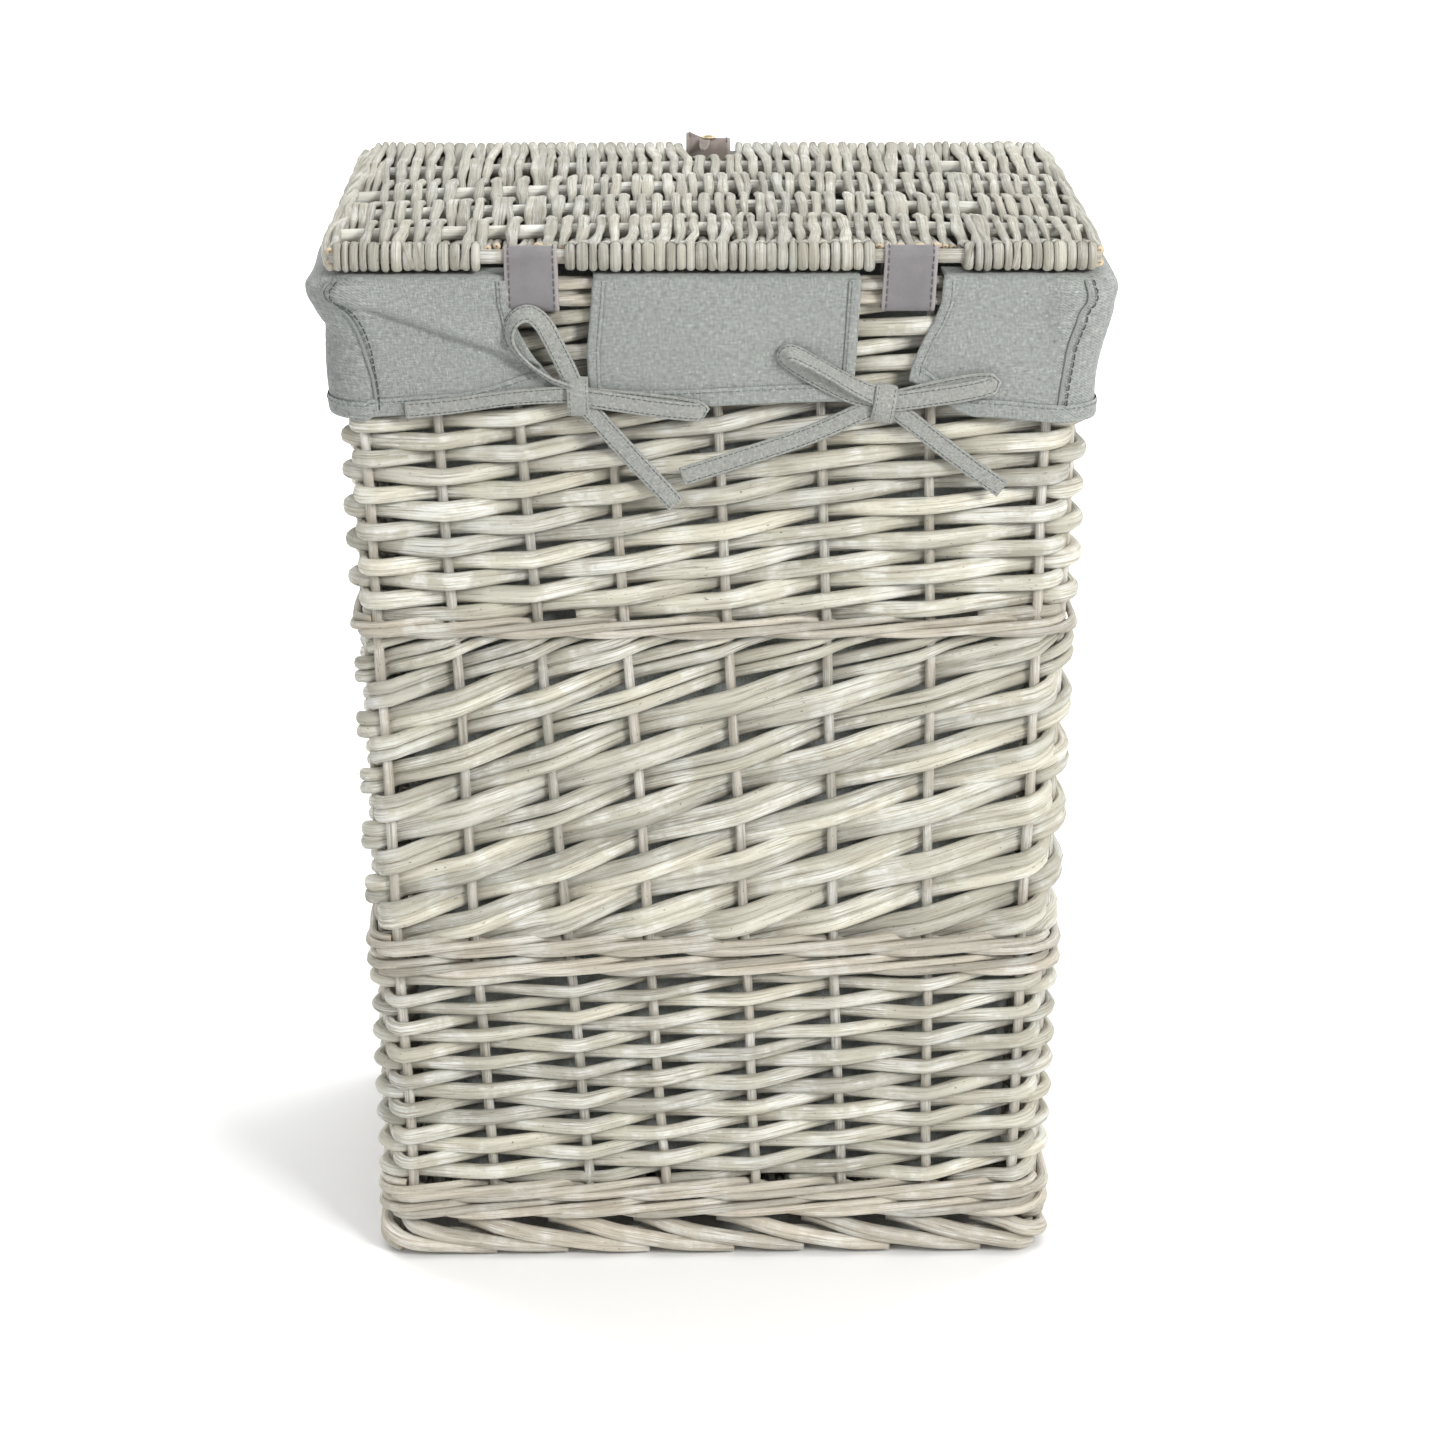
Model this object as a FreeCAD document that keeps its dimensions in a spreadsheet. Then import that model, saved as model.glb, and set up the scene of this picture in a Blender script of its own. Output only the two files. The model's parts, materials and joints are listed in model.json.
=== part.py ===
import FreeCAD, Part
import Sketcher
import math
import os

# Tapered rectangular willow basket with a hinged woven lid, a cloth liner
# folded over the rim, leather hinge loops and a leather lifting tab.
# Frame: +Z up, X along the long side, -Y is the hinge side.  The origin is on
# the floor at the middle of the foot.  Millimetres.

os.makedirs("parts", exist_ok=True)
doc = FreeCAD.newDocument("laundry_basket")
V = FreeCAD.Vector
ROT = FreeCAD.Rotation

# ------------------------------------------------------------------ sheet
sheet = doc.addObject("Spreadsheet::Sheet", "dims")
CELLS = [
    # wall envelope
    ("foot_half_x", 200.6), ("foot_half_y", 140.6),
    ("rim_half_x", 209.5), ("rim_half_y", 149.5),
    ("envelope_height", 602.0), ("corner_radius", 22.0),
    ("wall_thick", 20.0), ("inner_corner", 5.0),
    ("mitre_gap", 0.3), ("channel_gap", 0.15),
    # band heights
    ("foot_top", 26.0), ("bottom_wale_top", 49.0), ("lower_siding_top", 184.0),
    ("middle_wale_top", 209.0), ("middle_siding_top", 392.0),
    ("upper_wale_top", 404.0), ("upper_siding_top", 580.5),
    ("rim_wale_low", 583.0), ("rim_wale_top", 591.5), ("rim_top", 600.0),
    # stakes
    ("stake_radius", 3.0), ("stake_low", 4.0), ("stake_high", 596.0),
    ("stake_ref_low", 45.0), ("stake_ref_high", 515.0),
    # base
    ("base_low", 27.0), ("base_thick", 11.0), ("base_gap", 0.4),
    ("base_stick_radius", 3.0), ("base_stick_half", 178.0), ("base_stick_pitch", 44.0),
    # liner
    ("bag_gap", 3.2), ("cloth_thick", 1.2), ("bag_floor_low", 38.4),
    ("cuff_gap", 0.3), ("cuff_low", 523.0), ("cuff_under", 600.2), ("cuff_top", 601.4),
    ("slot_left_low_x", -116.4), ("slot_left_high_x", -67.0),
    ("slot_right_low_x", 77.0), ("slot_right_high_x", 121.8),
    # lid
    ("lid_mid_z", 611.0), ("lid_edge_y", 147.0), ("lid_edge_radius", 8.2),
    ("lid_weave_half_x", 209.0), ("lid_half_x", 215.0), ("lid_rod_radius", 4.0),
    ("lid_rod_half", 208.4), ("lid_stick_radius", 4.0),
    ("lid_stick_y_one", 103.0), ("lid_stick_y_two", 38.0),
    ("lid_stick_y_three", -22.0), ("lid_stick_y_four", -83.0),
    ("notch_depth", 14.0), ("notch_relief", 21.5), ("notch_relief_drop", 2.0),
    ("notch_left_low_x", -127.0), ("notch_left_high_x", -84.0),
    ("notch_right_low_x", 89.7), ("notch_right_high_x", 135.0),
    ("notch_tab_half", 16.0), ("notch_tab_depth", 16.5),
    ("binding_gap", 0.2), ("binding_half_y", 150.0), ("binding_half_z", 7.0),
    # leather
    ("leather_thick", 2.0), ("loop_gap", 0.1),
    ("strap_width", 28.9), ("strap_left_x", -99.6), ("strap_right_x", 105.2),
    ("strap_bottom", 580.75), ("strap_inside_y", 126.9),
    ("tab_width", 27.5), ("tab_slack", 6.0), ("tab_face_y", 151.5),
    ("tab_low", 556.0),
    # rivet
    ("rivet_radius", 1.5), ("rivet_head_radius", 4.5), ("rivet_head_high", 1.9),
    ("rivet_foot_radius", 3.0), ("rivet_foot_high", 0.8), ("rivet_gap", 0.05),
    # ties
    ("tie_tape", 10.5), ("tie_thick", 1.6), ("tie_front_y", 159.0),
]
for i, (alias, value) in enumerate(CELLS, start=1):
    sheet.set("A%d" % i, alias.replace("_", " "))
    sheet.set("B%d" % i, str(value))
    sheet.setAlias("B%d" % i, alias)

# stake positions: x (long sides) or y (ends) at the two reference heights
LONG_HINGE = [(-179.5, -193.2), (-131.6, -152.2), (-73.6, -107.8), (-28.3, -57.1),
              (25.4, 2.0), (75.6, 58.6), (127.0, 119.2), (177.9, 183.1)]
LONG_CLASP = [(-180.0, -188.5), (-129.5, -134.0), (-78.0, -81.0), (-26.5, -27.0),
              (25.0, 27.5), (77.5, 80.0), (128.0, 135.0), (179.5, 188.0)]
END_LEFT = [(-117.0, -124.5), (-72.0, -77.5), (-24.0, -27.0),
            (24.5, 25.0), (72.0, 76.0), (117.5, 124.0)]
END_RIGHT = [(-117.5, -125.0), (-71.0, -74.0), (-23.5, -24.5),
             (25.5, 27.0), (73.0, 77.0), (118.0, 124.5)]
row = len(CELLS) + 2
STAKES = {}
for side, table in (("hinge", LONG_HINGE), ("free", LONG_CLASP),
                    ("left", END_LEFT), ("right", END_RIGHT)):
    STAKES[side] = []
    for k, (low, high) in enumerate(table, start=1):
        names = ("stake_%s_low_%d" % (side, k), "stake_%s_high_%d" % (side, k))
        for name, value in zip(names, (low, high)):
            sheet.set("A%d" % row, name.replace("_", " "))
            sheet.set("B%d" % row, str(value))
            sheet.setAlias("B%d" % row, name)
            row += 1
        STAKES[side].append(names)
doc.recompute()


def val(alias):
    return float(getattr(sheet, alias))


NODES = {}


def node(obj, label):
    obj.Label = label
    NODES[label] = obj
    return obj


def plane(body, role):
    for feature in body.Origin.OriginFeatures:
        if feature.Role == role:
            return feature
    raise RuntimeError(role)


def bind(obj, **exprs):
    for prop, expr in exprs.items():
        obj.setExpression(prop.replace("__", "."), expr)


# ------------------------------------------------------------ wall lofts
def rounded_rectangle(body, name, height, half_x, half_y, radius):
    """A fully constrained rounded rectangle whose sizes come from the sheet."""
    sk = body.newObject("Sketcher::SketchObject", name)
    sk.AttachmentSupport = [(plane(body, "XY_Plane"), "")]
    sk.MapMode = "FlatFace"
    sk.setExpression("AttachmentOffset.Base.z", height)
    a, b, r = 200.0, 140.0, 8.0
    line, arc = Part.LineSegment, Part.ArcOfCircle
    up = V(0, 0, 1)
    q = math.pi / 2
    geo = [
        line(V(-a + r, -b, 0), V(a - r, -b, 0)),
        arc(Part.Circle(V(a - r, -b + r, 0), up, r), 3 * q, 4 * q),
        line(V(a, -b + r, 0), V(a, b - r, 0)),
        arc(Part.Circle(V(a - r, b - r, 0), up, r), 0, q),
        line(V(a - r, b, 0), V(-a + r, b, 0)),
        arc(Part.Circle(V(-a + r, b - r, 0), up, r), q, 2 * q),
        line(V(-a, b - r, 0), V(-a, -b + r, 0)),
        arc(Part.Circle(V(-a + r, -b + r, 0), up, r), 2 * q, 3 * q),
    ]
    sk.addGeometry(geo, False)
    C = Sketcher.Constraint
    for i in range(8):
        sk.addConstraint(C("Tangent", i, 2, (i + 1) % 8, 1))
    sk.addConstraint(C("Symmetric", 0, 1, 0, 2, -2))
    sk.addConstraint(C("Symmetric", 2, 1, 2, 2, -1))
    sk.addConstraint(C("Horizontal", 4))
    sk.addConstraint(C("Vertical", 6))
    for i in (3, 5, 7):
        sk.addConstraint(C("Equal", 1, i))
    for kind, cname, args, expr in (
            ("Radius", "radius", (1, r), radius),
            ("DistanceX", "half_x", (-1, 1, 2, 1, a), half_x),
            ("DistanceY", "half_y", (-1, 1, 4, 1, b), half_y)):
        n = sk.addConstraint(C(kind, *args))
        sk.renameConstraint(n, cname)
        sk.setExpression("Constraints." + cname, expr)
    return sk


def tapered_block(name, inset, radius):
    """The basket's tapered outline, moved in by inset all round."""
    body = doc.addObject("PartDesign::Body", name)
    low = rounded_rectangle(body, name + "_low", "0 mm",
                            "(dims.foot_half_x - (%s)) * 1 mm" % inset,
                            "(dims.foot_half_y - (%s)) * 1 mm" % inset,
                            "(%s) * 1 mm" % radius)
    high = rounded_rectangle(body, name + "_high", "dims.envelope_height * 1 mm",
                             "(dims.rim_half_x - (%s)) * 1 mm" % inset,
                             "(dims.rim_half_y - (%s)) * 1 mm" % inset,
                             "(%s) * 1 mm" % radius)
    loft = body.newObject("PartDesign::AdditiveLoft", name + "_loft")
    loft.Profile = low
    loft.Sections = [high]
    loft.Ruled = True
    body.Tip = loft
    return body


outline = tapered_block("outline", "0", "dims.corner_radius")
hollow = tapered_block("hollow", "dims.wall_thick", "dims.inner_corner")
bag_out = tapered_block("bag_out", "dims.wall_thick + dims.bag_gap", "dims.inner_corner - 0.5")
bag_in = tapered_block("bag_in", "dims.wall_thick + dims.bag_gap + dims.cloth_thick",
                       "dims.inner_corner - 1.5")
cuff_in = tapered_block("cuff_in", "0 - dims.cuff_gap", "dims.corner_radius + dims.cuff_gap")
cuff_out = tapered_block("cuff_out", "0 - dims.cuff_gap - dims.cloth_thick",
                         "dims.corner_radius + dims.cuff_gap + dims.cloth_thick")
base_out = tapered_block("base_out", "dims.wall_thick + dims.base_gap", "dims.inner_corner - 0.4")
doc.recompute()


def cut(name, base, tool):
    o = doc.addObject("Part::Cut", name)
    o.Base, o.Tool = base, tool
    return o


def common(name, base, tool):
    o = doc.addObject("Part::Common", name)
    o.Base, o.Tool = base, tool
    return o


def compound(name, members):
    o = doc.addObject("Part::Compound", name)
    o.Links = members
    return o


def slab(name, low, high, half=300.0):
    """A wide flat box between two heights named in the sheet."""
    o = doc.addObject("Part::Box", name)
    o.Length = o.Width = 2 * half
    o.Placement = FreeCAD.Placement(V(-half, -half, 0), ROT())
    bind(o, Height="((%s) - (%s)) * 1 mm" % (high, low),
         Placement__Base__z="(%s) * 1 mm" % low)
    return o


def span_box(name, x, y, z):
    """A box given by (low, high) expressions along each axis."""
    o = doc.addObject("Part::Box", name)
    for prop, axis, (low, high) in (("Length", "x", x), ("Width", "y", y), ("Height", "z", z)):
        o.setExpression(prop, "((%s) - (%s)) * 1 mm" % (high, low))
        o.setExpression("Placement.Base." + axis, "(%s) * 1 mm" % low)
    return o


# ---------------------------------------------------------------- stakes
H = val("envelope_height")
CORNER_MID = val("corner_radius") - val("wall_thick") / 2


def mid_half(z):
    t = z / H
    return (val("foot_half_x") + (val("rim_half_x") - val("foot_half_x")) * t - val("wall_thick") / 2,
            val("foot_half_y") + (val("rim_half_y") - val("foot_half_y")) * t - val("wall_thick") / 2)


def on_wall(side, along, z):
    """Point on the wall's middle surface, following the rounded corner."""
    mx, my = mid_half(z)
    if side in ("hinge", "free"):
        over = max(0.0, abs(along) - (mx - CORNER_MID))
        y = my - CORNER_MID + math.sqrt(max(0.0, CORNER_MID ** 2 - min(over, CORNER_MID) ** 2))
        return V(along, -y if side == "hinge" else y, z)
    over = max(0.0, abs(along) - (my - CORNER_MID))
    x = mx - CORNER_MID + math.sqrt(max(0.0, CORNER_MID ** 2 - min(over, CORNER_MID) ** 2))
    return V(-x if side == "left" else x, along, z)


def rod_between(name, a, b, radius_expr):
    o = doc.addObject("Part::Cylinder", name)
    d = b - a
    o.Placement = FreeCAD.Placement(a, ROT(V(0, 0, 1), d))
    o.Height = d.Length
    o.setExpression("Radius", radius_expr)
    return o


def stake_ends(side, names):
    z1, z2 = val("stake_ref_low"), val("stake_ref_high")
    a, b = val(names[0]), val(names[1])

    def along(z):
        return a + (b - a) * (z - z1) / (z2 - z1)
    p, q = on_wall(side, along(z1), z1), on_wall(side, along(z2), z2)
    lo, hi = val("stake_low"), val("stake_high")
    step = (q - p) * (1.0 / (z2 - z1))
    return p + step * (lo - z1), p + step * (hi - z1)


stake_nodes = {"hinge": "stakes_hinge_side", "free": "stakes_free_side",
               "left": "stakes_left_end", "right": "stakes_right_end"}
channels = []
for side, label in stake_nodes.items():
    rods = []
    for k, names in enumerate(STAKES[side], start=1):
        a, b = stake_ends(side, names)
        rods.append(rod_between("stake_%s_%d" % (side, k), a, b, "dims.stake_radius * 1 mm"))
        ext = (b - a) * (1.0 / (b - a).Length) * 10.0
        channels.append(rod_between("channel_%s_%d" % (side, k), a - ext, b + ext,
                                    "(dims.stake_radius + dims.channel_gap) * 1 mm"))
    node(compound("group_" + side, rods), label)
channel_group = compound("channels", channels)

# thin 45 degree gaps that part each band at the four corners
mitres = []
gap = val("mitre_gap")
for sx in (-1, 1):
    for sy in (-1, 1):
        o = doc.addObject("Part::Box", "mitre_%d" % (len(mitres) + 1))
        o.Length, o.Height = 90.0, H + 10
        o.setExpression("Width", "dims.mitre_gap * 1 mm")
        ang = math.degrees(math.atan2(sy, sx))
        rot = ROT(V(0, 0, 1), ang)
        centre = V(sx * 195.0, sy * (195.0 - (val("foot_half_x") - val("foot_half_y"))), -5)
        o.Placement = FreeCAD.Placement(centre - rot.multVec(V(45.0, gap / 2, 0)), rot)
        mitres.append(o)
mitre_group = compound("mitres", mitres)

wall = cut("wall", outline, hollow)


def band(label, low, high):
    piece = common(label + "_ring", wall, slab(label + "_slab", low, high))
    piece = cut(label + "_bored", piece, channel_group)
    return node(cut(label + "_panels", piece, mitre_group), label)


band("foot_border", "0", "dims.foot_top")
band("bottom_wale", "dims.foot_top", "dims.bottom_wale_top")
band("lower_siding", "dims.bottom_wale_top", "dims.lower_siding_top")
band("middle_wale", "dims.lower_siding_top", "dims.middle_wale_top")
band("middle_siding", "dims.middle_wale_top", "dims.middle_siding_top")
band("upper_wale", "dims.middle_siding_top", "dims.upper_wale_top")
band("upper_siding", "dims.upper_wale_top", "dims.upper_siding_top")
band("rim_wale", "dims.rim_wale_low", "dims.rim_wale_top")
band("rim_border", "dims.rim_wale_top", "dims.rim_top")

# ------------------------------------------------------------------ base
base_plate = common("base_plate", base_out,
                    slab("base_slab", "dims.base_low", "dims.base_low + dims.base_thick"))
sticks, bores = [], []
for k in range(5):
    for group, gap_expr, extra, tag in ((sticks, "0", "0", "stick"),
                                        (bores, "dims.channel_gap", "0.3", "bore")):
        o = doc.addObject("Part::Cylinder", "base_%s_%d" % (tag, k + 1))
        o.Placement = FreeCAD.Placement(V(0, 0, 0), ROT(V(0, 1, 0), 90))
        bind(o, Radius="(dims.base_stick_radius + %s) * 1 mm" % gap_expr,
             Height="2 * (dims.base_stick_half + %s) * 1 mm" % extra,
             Placement__Base__x="0 mm - (dims.base_stick_half + %s) * 1 mm" % extra,
             Placement__Base__y="dims.base_stick_pitch * %d * 1 mm" % (k - 2),
             Placement__Base__z="(dims.base_low + dims.base_thick / 2) * 1 mm")
        group.append(o)
node(compound("base_stick_group", sticks), "base_sticks")
node(cut("base_mat", base_plate, compound("base_bores", bores)), "base_weave")

# ----------------------------------------------------------------- liner
bag = common("bag_block", bag_out, slab("bag_slab", "dims.bag_floor_low", "dims.cuff_under"))
bag_void = common("bag_void", bag_in,
                  slab("bag_void_slab", "dims.bag_floor_low + dims.cloth_thick",
                       "dims.envelope_height"))
node(cut("bag_shell", bag, bag_void), "liner_bag")

cuff = common("cuff_block", cuff_out, slab("cuff_slab", "dims.cuff_low", "dims.cuff_top"))
cuff = cut("cuff_shell", cuff, common("cuff_void", cuff_in,
                                      slab("cuff_void_slab", "0", "dims.cuff_under")))
cuff = cut("cuff_open", cuff, common("cuff_mouth", bag_in, slab("cuff_mouth_slab", "0",
                                                               "dims.envelope_height")))
for tag in ("left", "right"):
    cuff = cut("cuff_slot_" + tag, cuff, span_box(
        "slot_" + tag, ("dims.slot_%s_low_x" % tag, "dims.slot_%s_high_x" % tag),
        ("0 - 170", "0 - 110"), ("500", "610")))
node(cuff, "liner_cuff")


# -------------------------------------------------------- sketch helpers
def profile_body(name, role, geometry, length_expr, offset_expr="0 mm"):
    """A sketched profile on an origin plane, padded equally both ways."""
    body = doc.addObject("PartDesign::Body", name)
    sk = body.newObject("Sketcher::SketchObject", name + "_profile")
    sk.AttachmentSupport = [(plane(body, role), "")]
    sk.MapMode = "FlatFace"
    sk.setExpression("AttachmentOffset.Base.z", offset_expr)
    sk.addGeometry(geometry, False)
    for i in range(len(geometry)):
        sk.addConstraint(Sketcher.Constraint("Block", i))
    pad = body.newObject("PartDesign::Pad", name + "_pad")
    pad.Profile = sk
    pad.Midplane = True
    pad.setExpression("Length", length_expr)
    body.Tip = pad
    return body


def seg(a, b):
    return Part.LineSegment(V(a[0], a[1], 0), V(b[0], b[1], 0))


def arc3(a, m, b):
    return Part.Arc(V(a[0], a[1], 0), V(m[0], m[1], 0), V(b[0], b[1], 0))


def arc_geom(a, m, b):
    e = Part.Arc(V(a[0], a[1], 0), V(m[0], m[1], 0), V(b[0], b[1], 0)).toShape()
    c = e.Curve
    circle = Part.Circle(V(c.Center.x, c.Center.y, 0), V(0, 0, 1), c.Radius)
    a0 = math.atan2(a[1] - c.Center.y, a[0] - c.Center.x)
    am = math.atan2(m[1] - c.Center.y, m[0] - c.Center.x)
    a1 = math.atan2(b[1] - c.Center.y, b[0] - c.Center.x)
    two = 2 * math.pi
    if (am - a0) % two < (a1 - a0) % two:
        return Part.ArcOfCircle(circle, a0, a0 + ((a1 - a0) % two))
    return Part.ArcOfCircle(circle, a1, a1 + ((a0 - a1) % two))


def circ(c, r):
    return Part.Circle(V(c[0], c[1], 0), V(0, 0, 1), r)


# ------------------------------------------------------------------- lid
# profile seen along X: sketch x is world Y, sketch y is world Z
EY, MZ, ER = val("lid_edge_y"), val("lid_mid_z"), val("lid_edge_radius")
bore = val("lid_rod_radius") + val("channel_gap")
stick_bore = val("lid_stick_radius") + val("channel_gap")
stick_ys = [val("lid_stick_y_" + w) for w in ("one", "two", "three", "four")]
geo = [seg((-EY, MZ - ER), (EY, MZ - ER)),
       arc_geom((EY, MZ - ER), (EY + ER, MZ), (EY, MZ + ER)),
       seg((EY, MZ + ER), (-EY, MZ + ER)),
       arc_geom((-EY, MZ + ER), (-EY - ER, MZ), (-EY, MZ - ER)),
       circ((EY, MZ), bore), circ((-EY, MZ), bore)]
geo += [circ((y, MZ), stick_bore) for y in stick_ys]
lid_plate = profile_body("lid_plate", "YZ_Plane", geo, "2 * dims.lid_weave_half_x * 1 mm")
doc.recompute()

lid_shape = lid_plate
for tag in ("left", "right"):
    lid_shape = cut("lid_notch_" + tag, lid_shape, span_box(
        "notch_" + tag, ("dims.notch_%s_low_x" % tag, "dims.notch_%s_high_x" % tag),
        ("0 - 170", "0 - dims.lid_edge_y + dims.notch_depth"), ("595", "630")))
    lid_shape = cut("lid_relief_" + tag, lid_shape, span_box(
        "relief_" + tag, ("dims.notch_%s_low_x" % tag, "dims.notch_%s_high_x" % tag),
        ("0 - 170", "0 - dims.lid_edge_y + dims.notch_relief"),
        ("595", "dims.lid_mid_z - dims.notch_relief_drop")))
lid_shape = cut("lid_notch_tab", lid_shape, span_box(
    "notch_tab", ("0 - dims.notch_tab_half", "dims.notch_tab_half"),
    ("dims.lid_edge_y - dims.notch_tab_depth", "170"), ("595", "630")))
node(lid_shape, "lid_weave")


def x_rod(name, y_expr, radius_expr, half_expr):
    o = doc.addObject("Part::Cylinder", name)
    o.Placement = FreeCAD.Placement(V(0, 0, 0), ROT(V(0, 1, 0), 90))
    bind(o, Radius=radius_expr + " * 1 mm", Height="2 * %s * 1 mm" % half_expr,
         Placement__Base__x="0 mm - %s * 1 mm" % half_expr,
         Placement__Base__y="(%s) * 1 mm" % y_expr,
         Placement__Base__z="dims.lid_mid_z * 1 mm")
    return o


node(x_rod("rod_hinge", "0 - dims.lid_edge_y", "dims.lid_rod_radius", "dims.lid_rod_half"),
     "lid_hinge_rod")
node(x_rod("rod_free", "dims.lid_edge_y", "dims.lid_rod_radius", "dims.lid_rod_half"),
     "lid_free_edge_rod")
node(compound("lid_stick_group", [
    x_rod("lid_stick_" + w, "dims.lid_stick_y_" + w, "dims.lid_stick_radius", "dims.lid_rod_half")
    for w in ("one", "two", "three", "four")]), "lid_sticks")

# end bindings: rounded bars along Y that close the weave at each end
BY, BZ = val("binding_half_y"), val("binding_half_z")
bx0, bx1 = val("lid_weave_half_x") + val("binding_gap"), val("lid_half_x")
for tag, sgn in (("left", -1), ("right", 1)):
    inner, outer = sgn * bx0, sgn * bx1
    soft = 3.0
    pts = [(inner, MZ - BZ), (outer - sgn * soft, MZ - BZ), (outer, MZ - BZ + soft),
           (outer, MZ + BZ - soft), (outer - sgn * soft, MZ + BZ), (inner, MZ + BZ)]
    if sgn < 0:
        pts = pts[::-1]
    # the XZ plane's sketch x is world X and sketch y is world Z
    g = [seg(pts[i], pts[(i + 1) % 6]) for i in range(6)]
    node(profile_body("binding_" + tag, "XZ_Plane", g, "2 * dims.binding_half_y * 1 mm"),
         "lid_binding_" + tag)

# --------------------------------------------------------------- leather
LT = val("leather_thick")
Ri = val("lid_rod_radius") + val("loop_gap")
Ro = Ri + LT


def tangent_point(q, c, r):
    """The upper tangent point on the circle seen from q."""
    dx, dy = c[0] - q[0], c[1] - q[1]
    d = math.hypot(dx, dy)
    reach = math.sqrt(d * d - r * r)
    best = None
    for s in (-1, 1):
        a = math.atan2(dy, dx) + s * math.asin(r / d)
        p = (q[0] + reach * math.cos(a), q[1] + reach * math.sin(a))
        if best is None or p[1] > best[1]:
            best = p
    return best


c = (-EY, MZ)
SB, SI = val("strap_bottom"), -val("strap_inside_y")
q_out, q_in = (SI, MZ - 9.2), (SI - LT, MZ - 10.0)
t_out, t_in = tangent_point(q_out, c, Ro), tangent_point(q_in, c, Ri)
strap_geo = [
    seg((c[0] - Ro, SB), (c[0] - Ro, MZ)),
    arc_geom((c[0] - Ro, MZ), (c[0] - Ro * math.sin(0.6), MZ + Ro * math.cos(0.6)), t_out),
    seg(t_out, q_out), seg(q_out, (SI, SB)), seg((SI, SB), (c[0] - Ro, SB)),
    seg((c[0] - Ri, SB + LT), (c[0] - Ri, MZ)),
    arc_geom((c[0] - Ri, MZ), (c[0] - Ri * math.sin(0.6), MZ + Ri * math.cos(0.6)), t_in),
    seg(t_in, q_in), seg(q_in, (SI - LT, SB + LT)), seg((SI - LT, SB + LT), (c[0] - Ri, SB + LT)),
]
for tag in ("left", "right"):
    # the run through the wall is notched where it passes beside a stake
    blank = profile_body("strap_" + tag, "YZ_Plane", strap_geo, "dims.strap_width * 1 mm",
                         "dims.strap_%s_x * 1 mm" % tag)
    node(cut("strap_passed_" + tag, blank, channel_group), "hinge_strap_" + tag)

# lifting tab: a doubled strap looped loosely over the free edge rod
c = (EY, MZ)
TS, TF, TL = val("tab_slack"), val("tab_face_y"), val("tab_low")
back = TF + 2 * LT
meet = (TF, MZ - math.sqrt(Ro ** 2 - (TF - EY) ** 2))
tab_geo = [
    seg((TF, TL), meet),
    arc_geom(meet, (EY, MZ - Ro), (EY - Ro, MZ)),
    seg((EY - Ro, MZ), (EY - Ro, MZ + TS)),
    arc_geom((EY - Ro, MZ + TS), (EY, MZ + TS + Ro), (EY + Ro, MZ + TS)),
    seg((EY + Ro, MZ + TS), (back, MZ - 2.0)),
    seg((back, MZ - 2.0), (back, TL)), seg((back, TL), (TF, TL)),
    arc_geom((EY + Ri, MZ), (EY, MZ - Ri), (EY - Ri, MZ)),
    seg((EY - Ri, MZ), (EY - Ri, MZ + TS)),
    arc_geom((EY - Ri, MZ + TS), (EY, MZ + TS + Ri), (EY + Ri, MZ + TS)),
    seg((EY + Ri, MZ + TS), (EY + Ri, MZ)),
]
tab_body = profile_body("tab_blank", "YZ_Plane", tab_geo, "dims.tab_width * 1 mm")
rivet_hole = doc.addObject("Part::Cylinder", "rivet_hole")
rivet_hole.Height = 8.0
bind(rivet_hole, Radius="(dims.rivet_radius + dims.rivet_gap) * 1 mm",
     Placement__Base__y="dims.lid_edge_y * 1 mm",
     Placement__Base__z="(dims.lid_mid_z + dims.tab_slack + 1) * 1 mm")
node(cut("tab_pierced", tab_body, rivet_hole), "lifting_tab")

# rivet: a domed head, a shank and a small foot, turned about its own axis
top_in, top_out = MZ + TS + Ri, MZ + TS + Ro
rr, hr, hh = val("rivet_radius"), val("rivet_head_radius"), val("rivet_head_high")
fr, fh = val("rivet_foot_radius"), val("rivet_foot_high")
seat = 0.05
drop_in = Ri - math.sqrt(Ri ** 2 - fr ** 2)      # the arch falls away from its crown
z0 = top_in - drop_in - fh - seat
z1 = z0 + fh
z2 = top_out + seat
z3 = z2 + hh
R = (hr ** 2 + (hh - 0.5) ** 2) / (2 * (hh - 0.5))
mid = (hr * 0.6, z3 - R + math.sqrt(R ** 2 - (hr * 0.6) ** 2))
rivet_body = doc.addObject("PartDesign::Body", "rivet")
sk = rivet_body.newObject("Sketcher::SketchObject", "rivet_profile")
sk.AttachmentSupport = [(plane(rivet_body, "XZ_Plane"), "")]
sk.MapMode = "FlatFace"
rg = [seg((0, z0), (fr, z0)), seg((fr, z0), (fr, z1)), seg((fr, z1), (rr, z1)),
      seg((rr, z1), (rr, z2)), seg((rr, z2), (hr, z2)), seg((hr, z2), (hr, z2 + 0.5)),
      arc_geom((hr, z2 + 0.5), mid, (0, z3)), seg((0, z3), (0, z0))]
sk.addGeometry(rg, False)
for i in range(len(rg)):
    sk.addConstraint(Sketcher.Constraint("Block", i))
rev = rivet_body.newObject("PartDesign::Revolution", "rivet_turned")
rev.Profile = sk
rev.ReferenceAxis = (sk, ["V_Axis"])
rev.Angle = 360.0
rivet_body.Tip = rev
rivet_body.setExpression("Placement.Base.y", "dims.lid_edge_y * 1 mm")
node(rivet_body, "lifting_tab_rivet")

# ------------------------------------------------------------------ ties
# Each tie is a tape bow lying on the folded cuff: a knot, loops and tails.
tape, thick, front = val("tie_tape"), val("tie_thick"), -val("tie_front_y")


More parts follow.
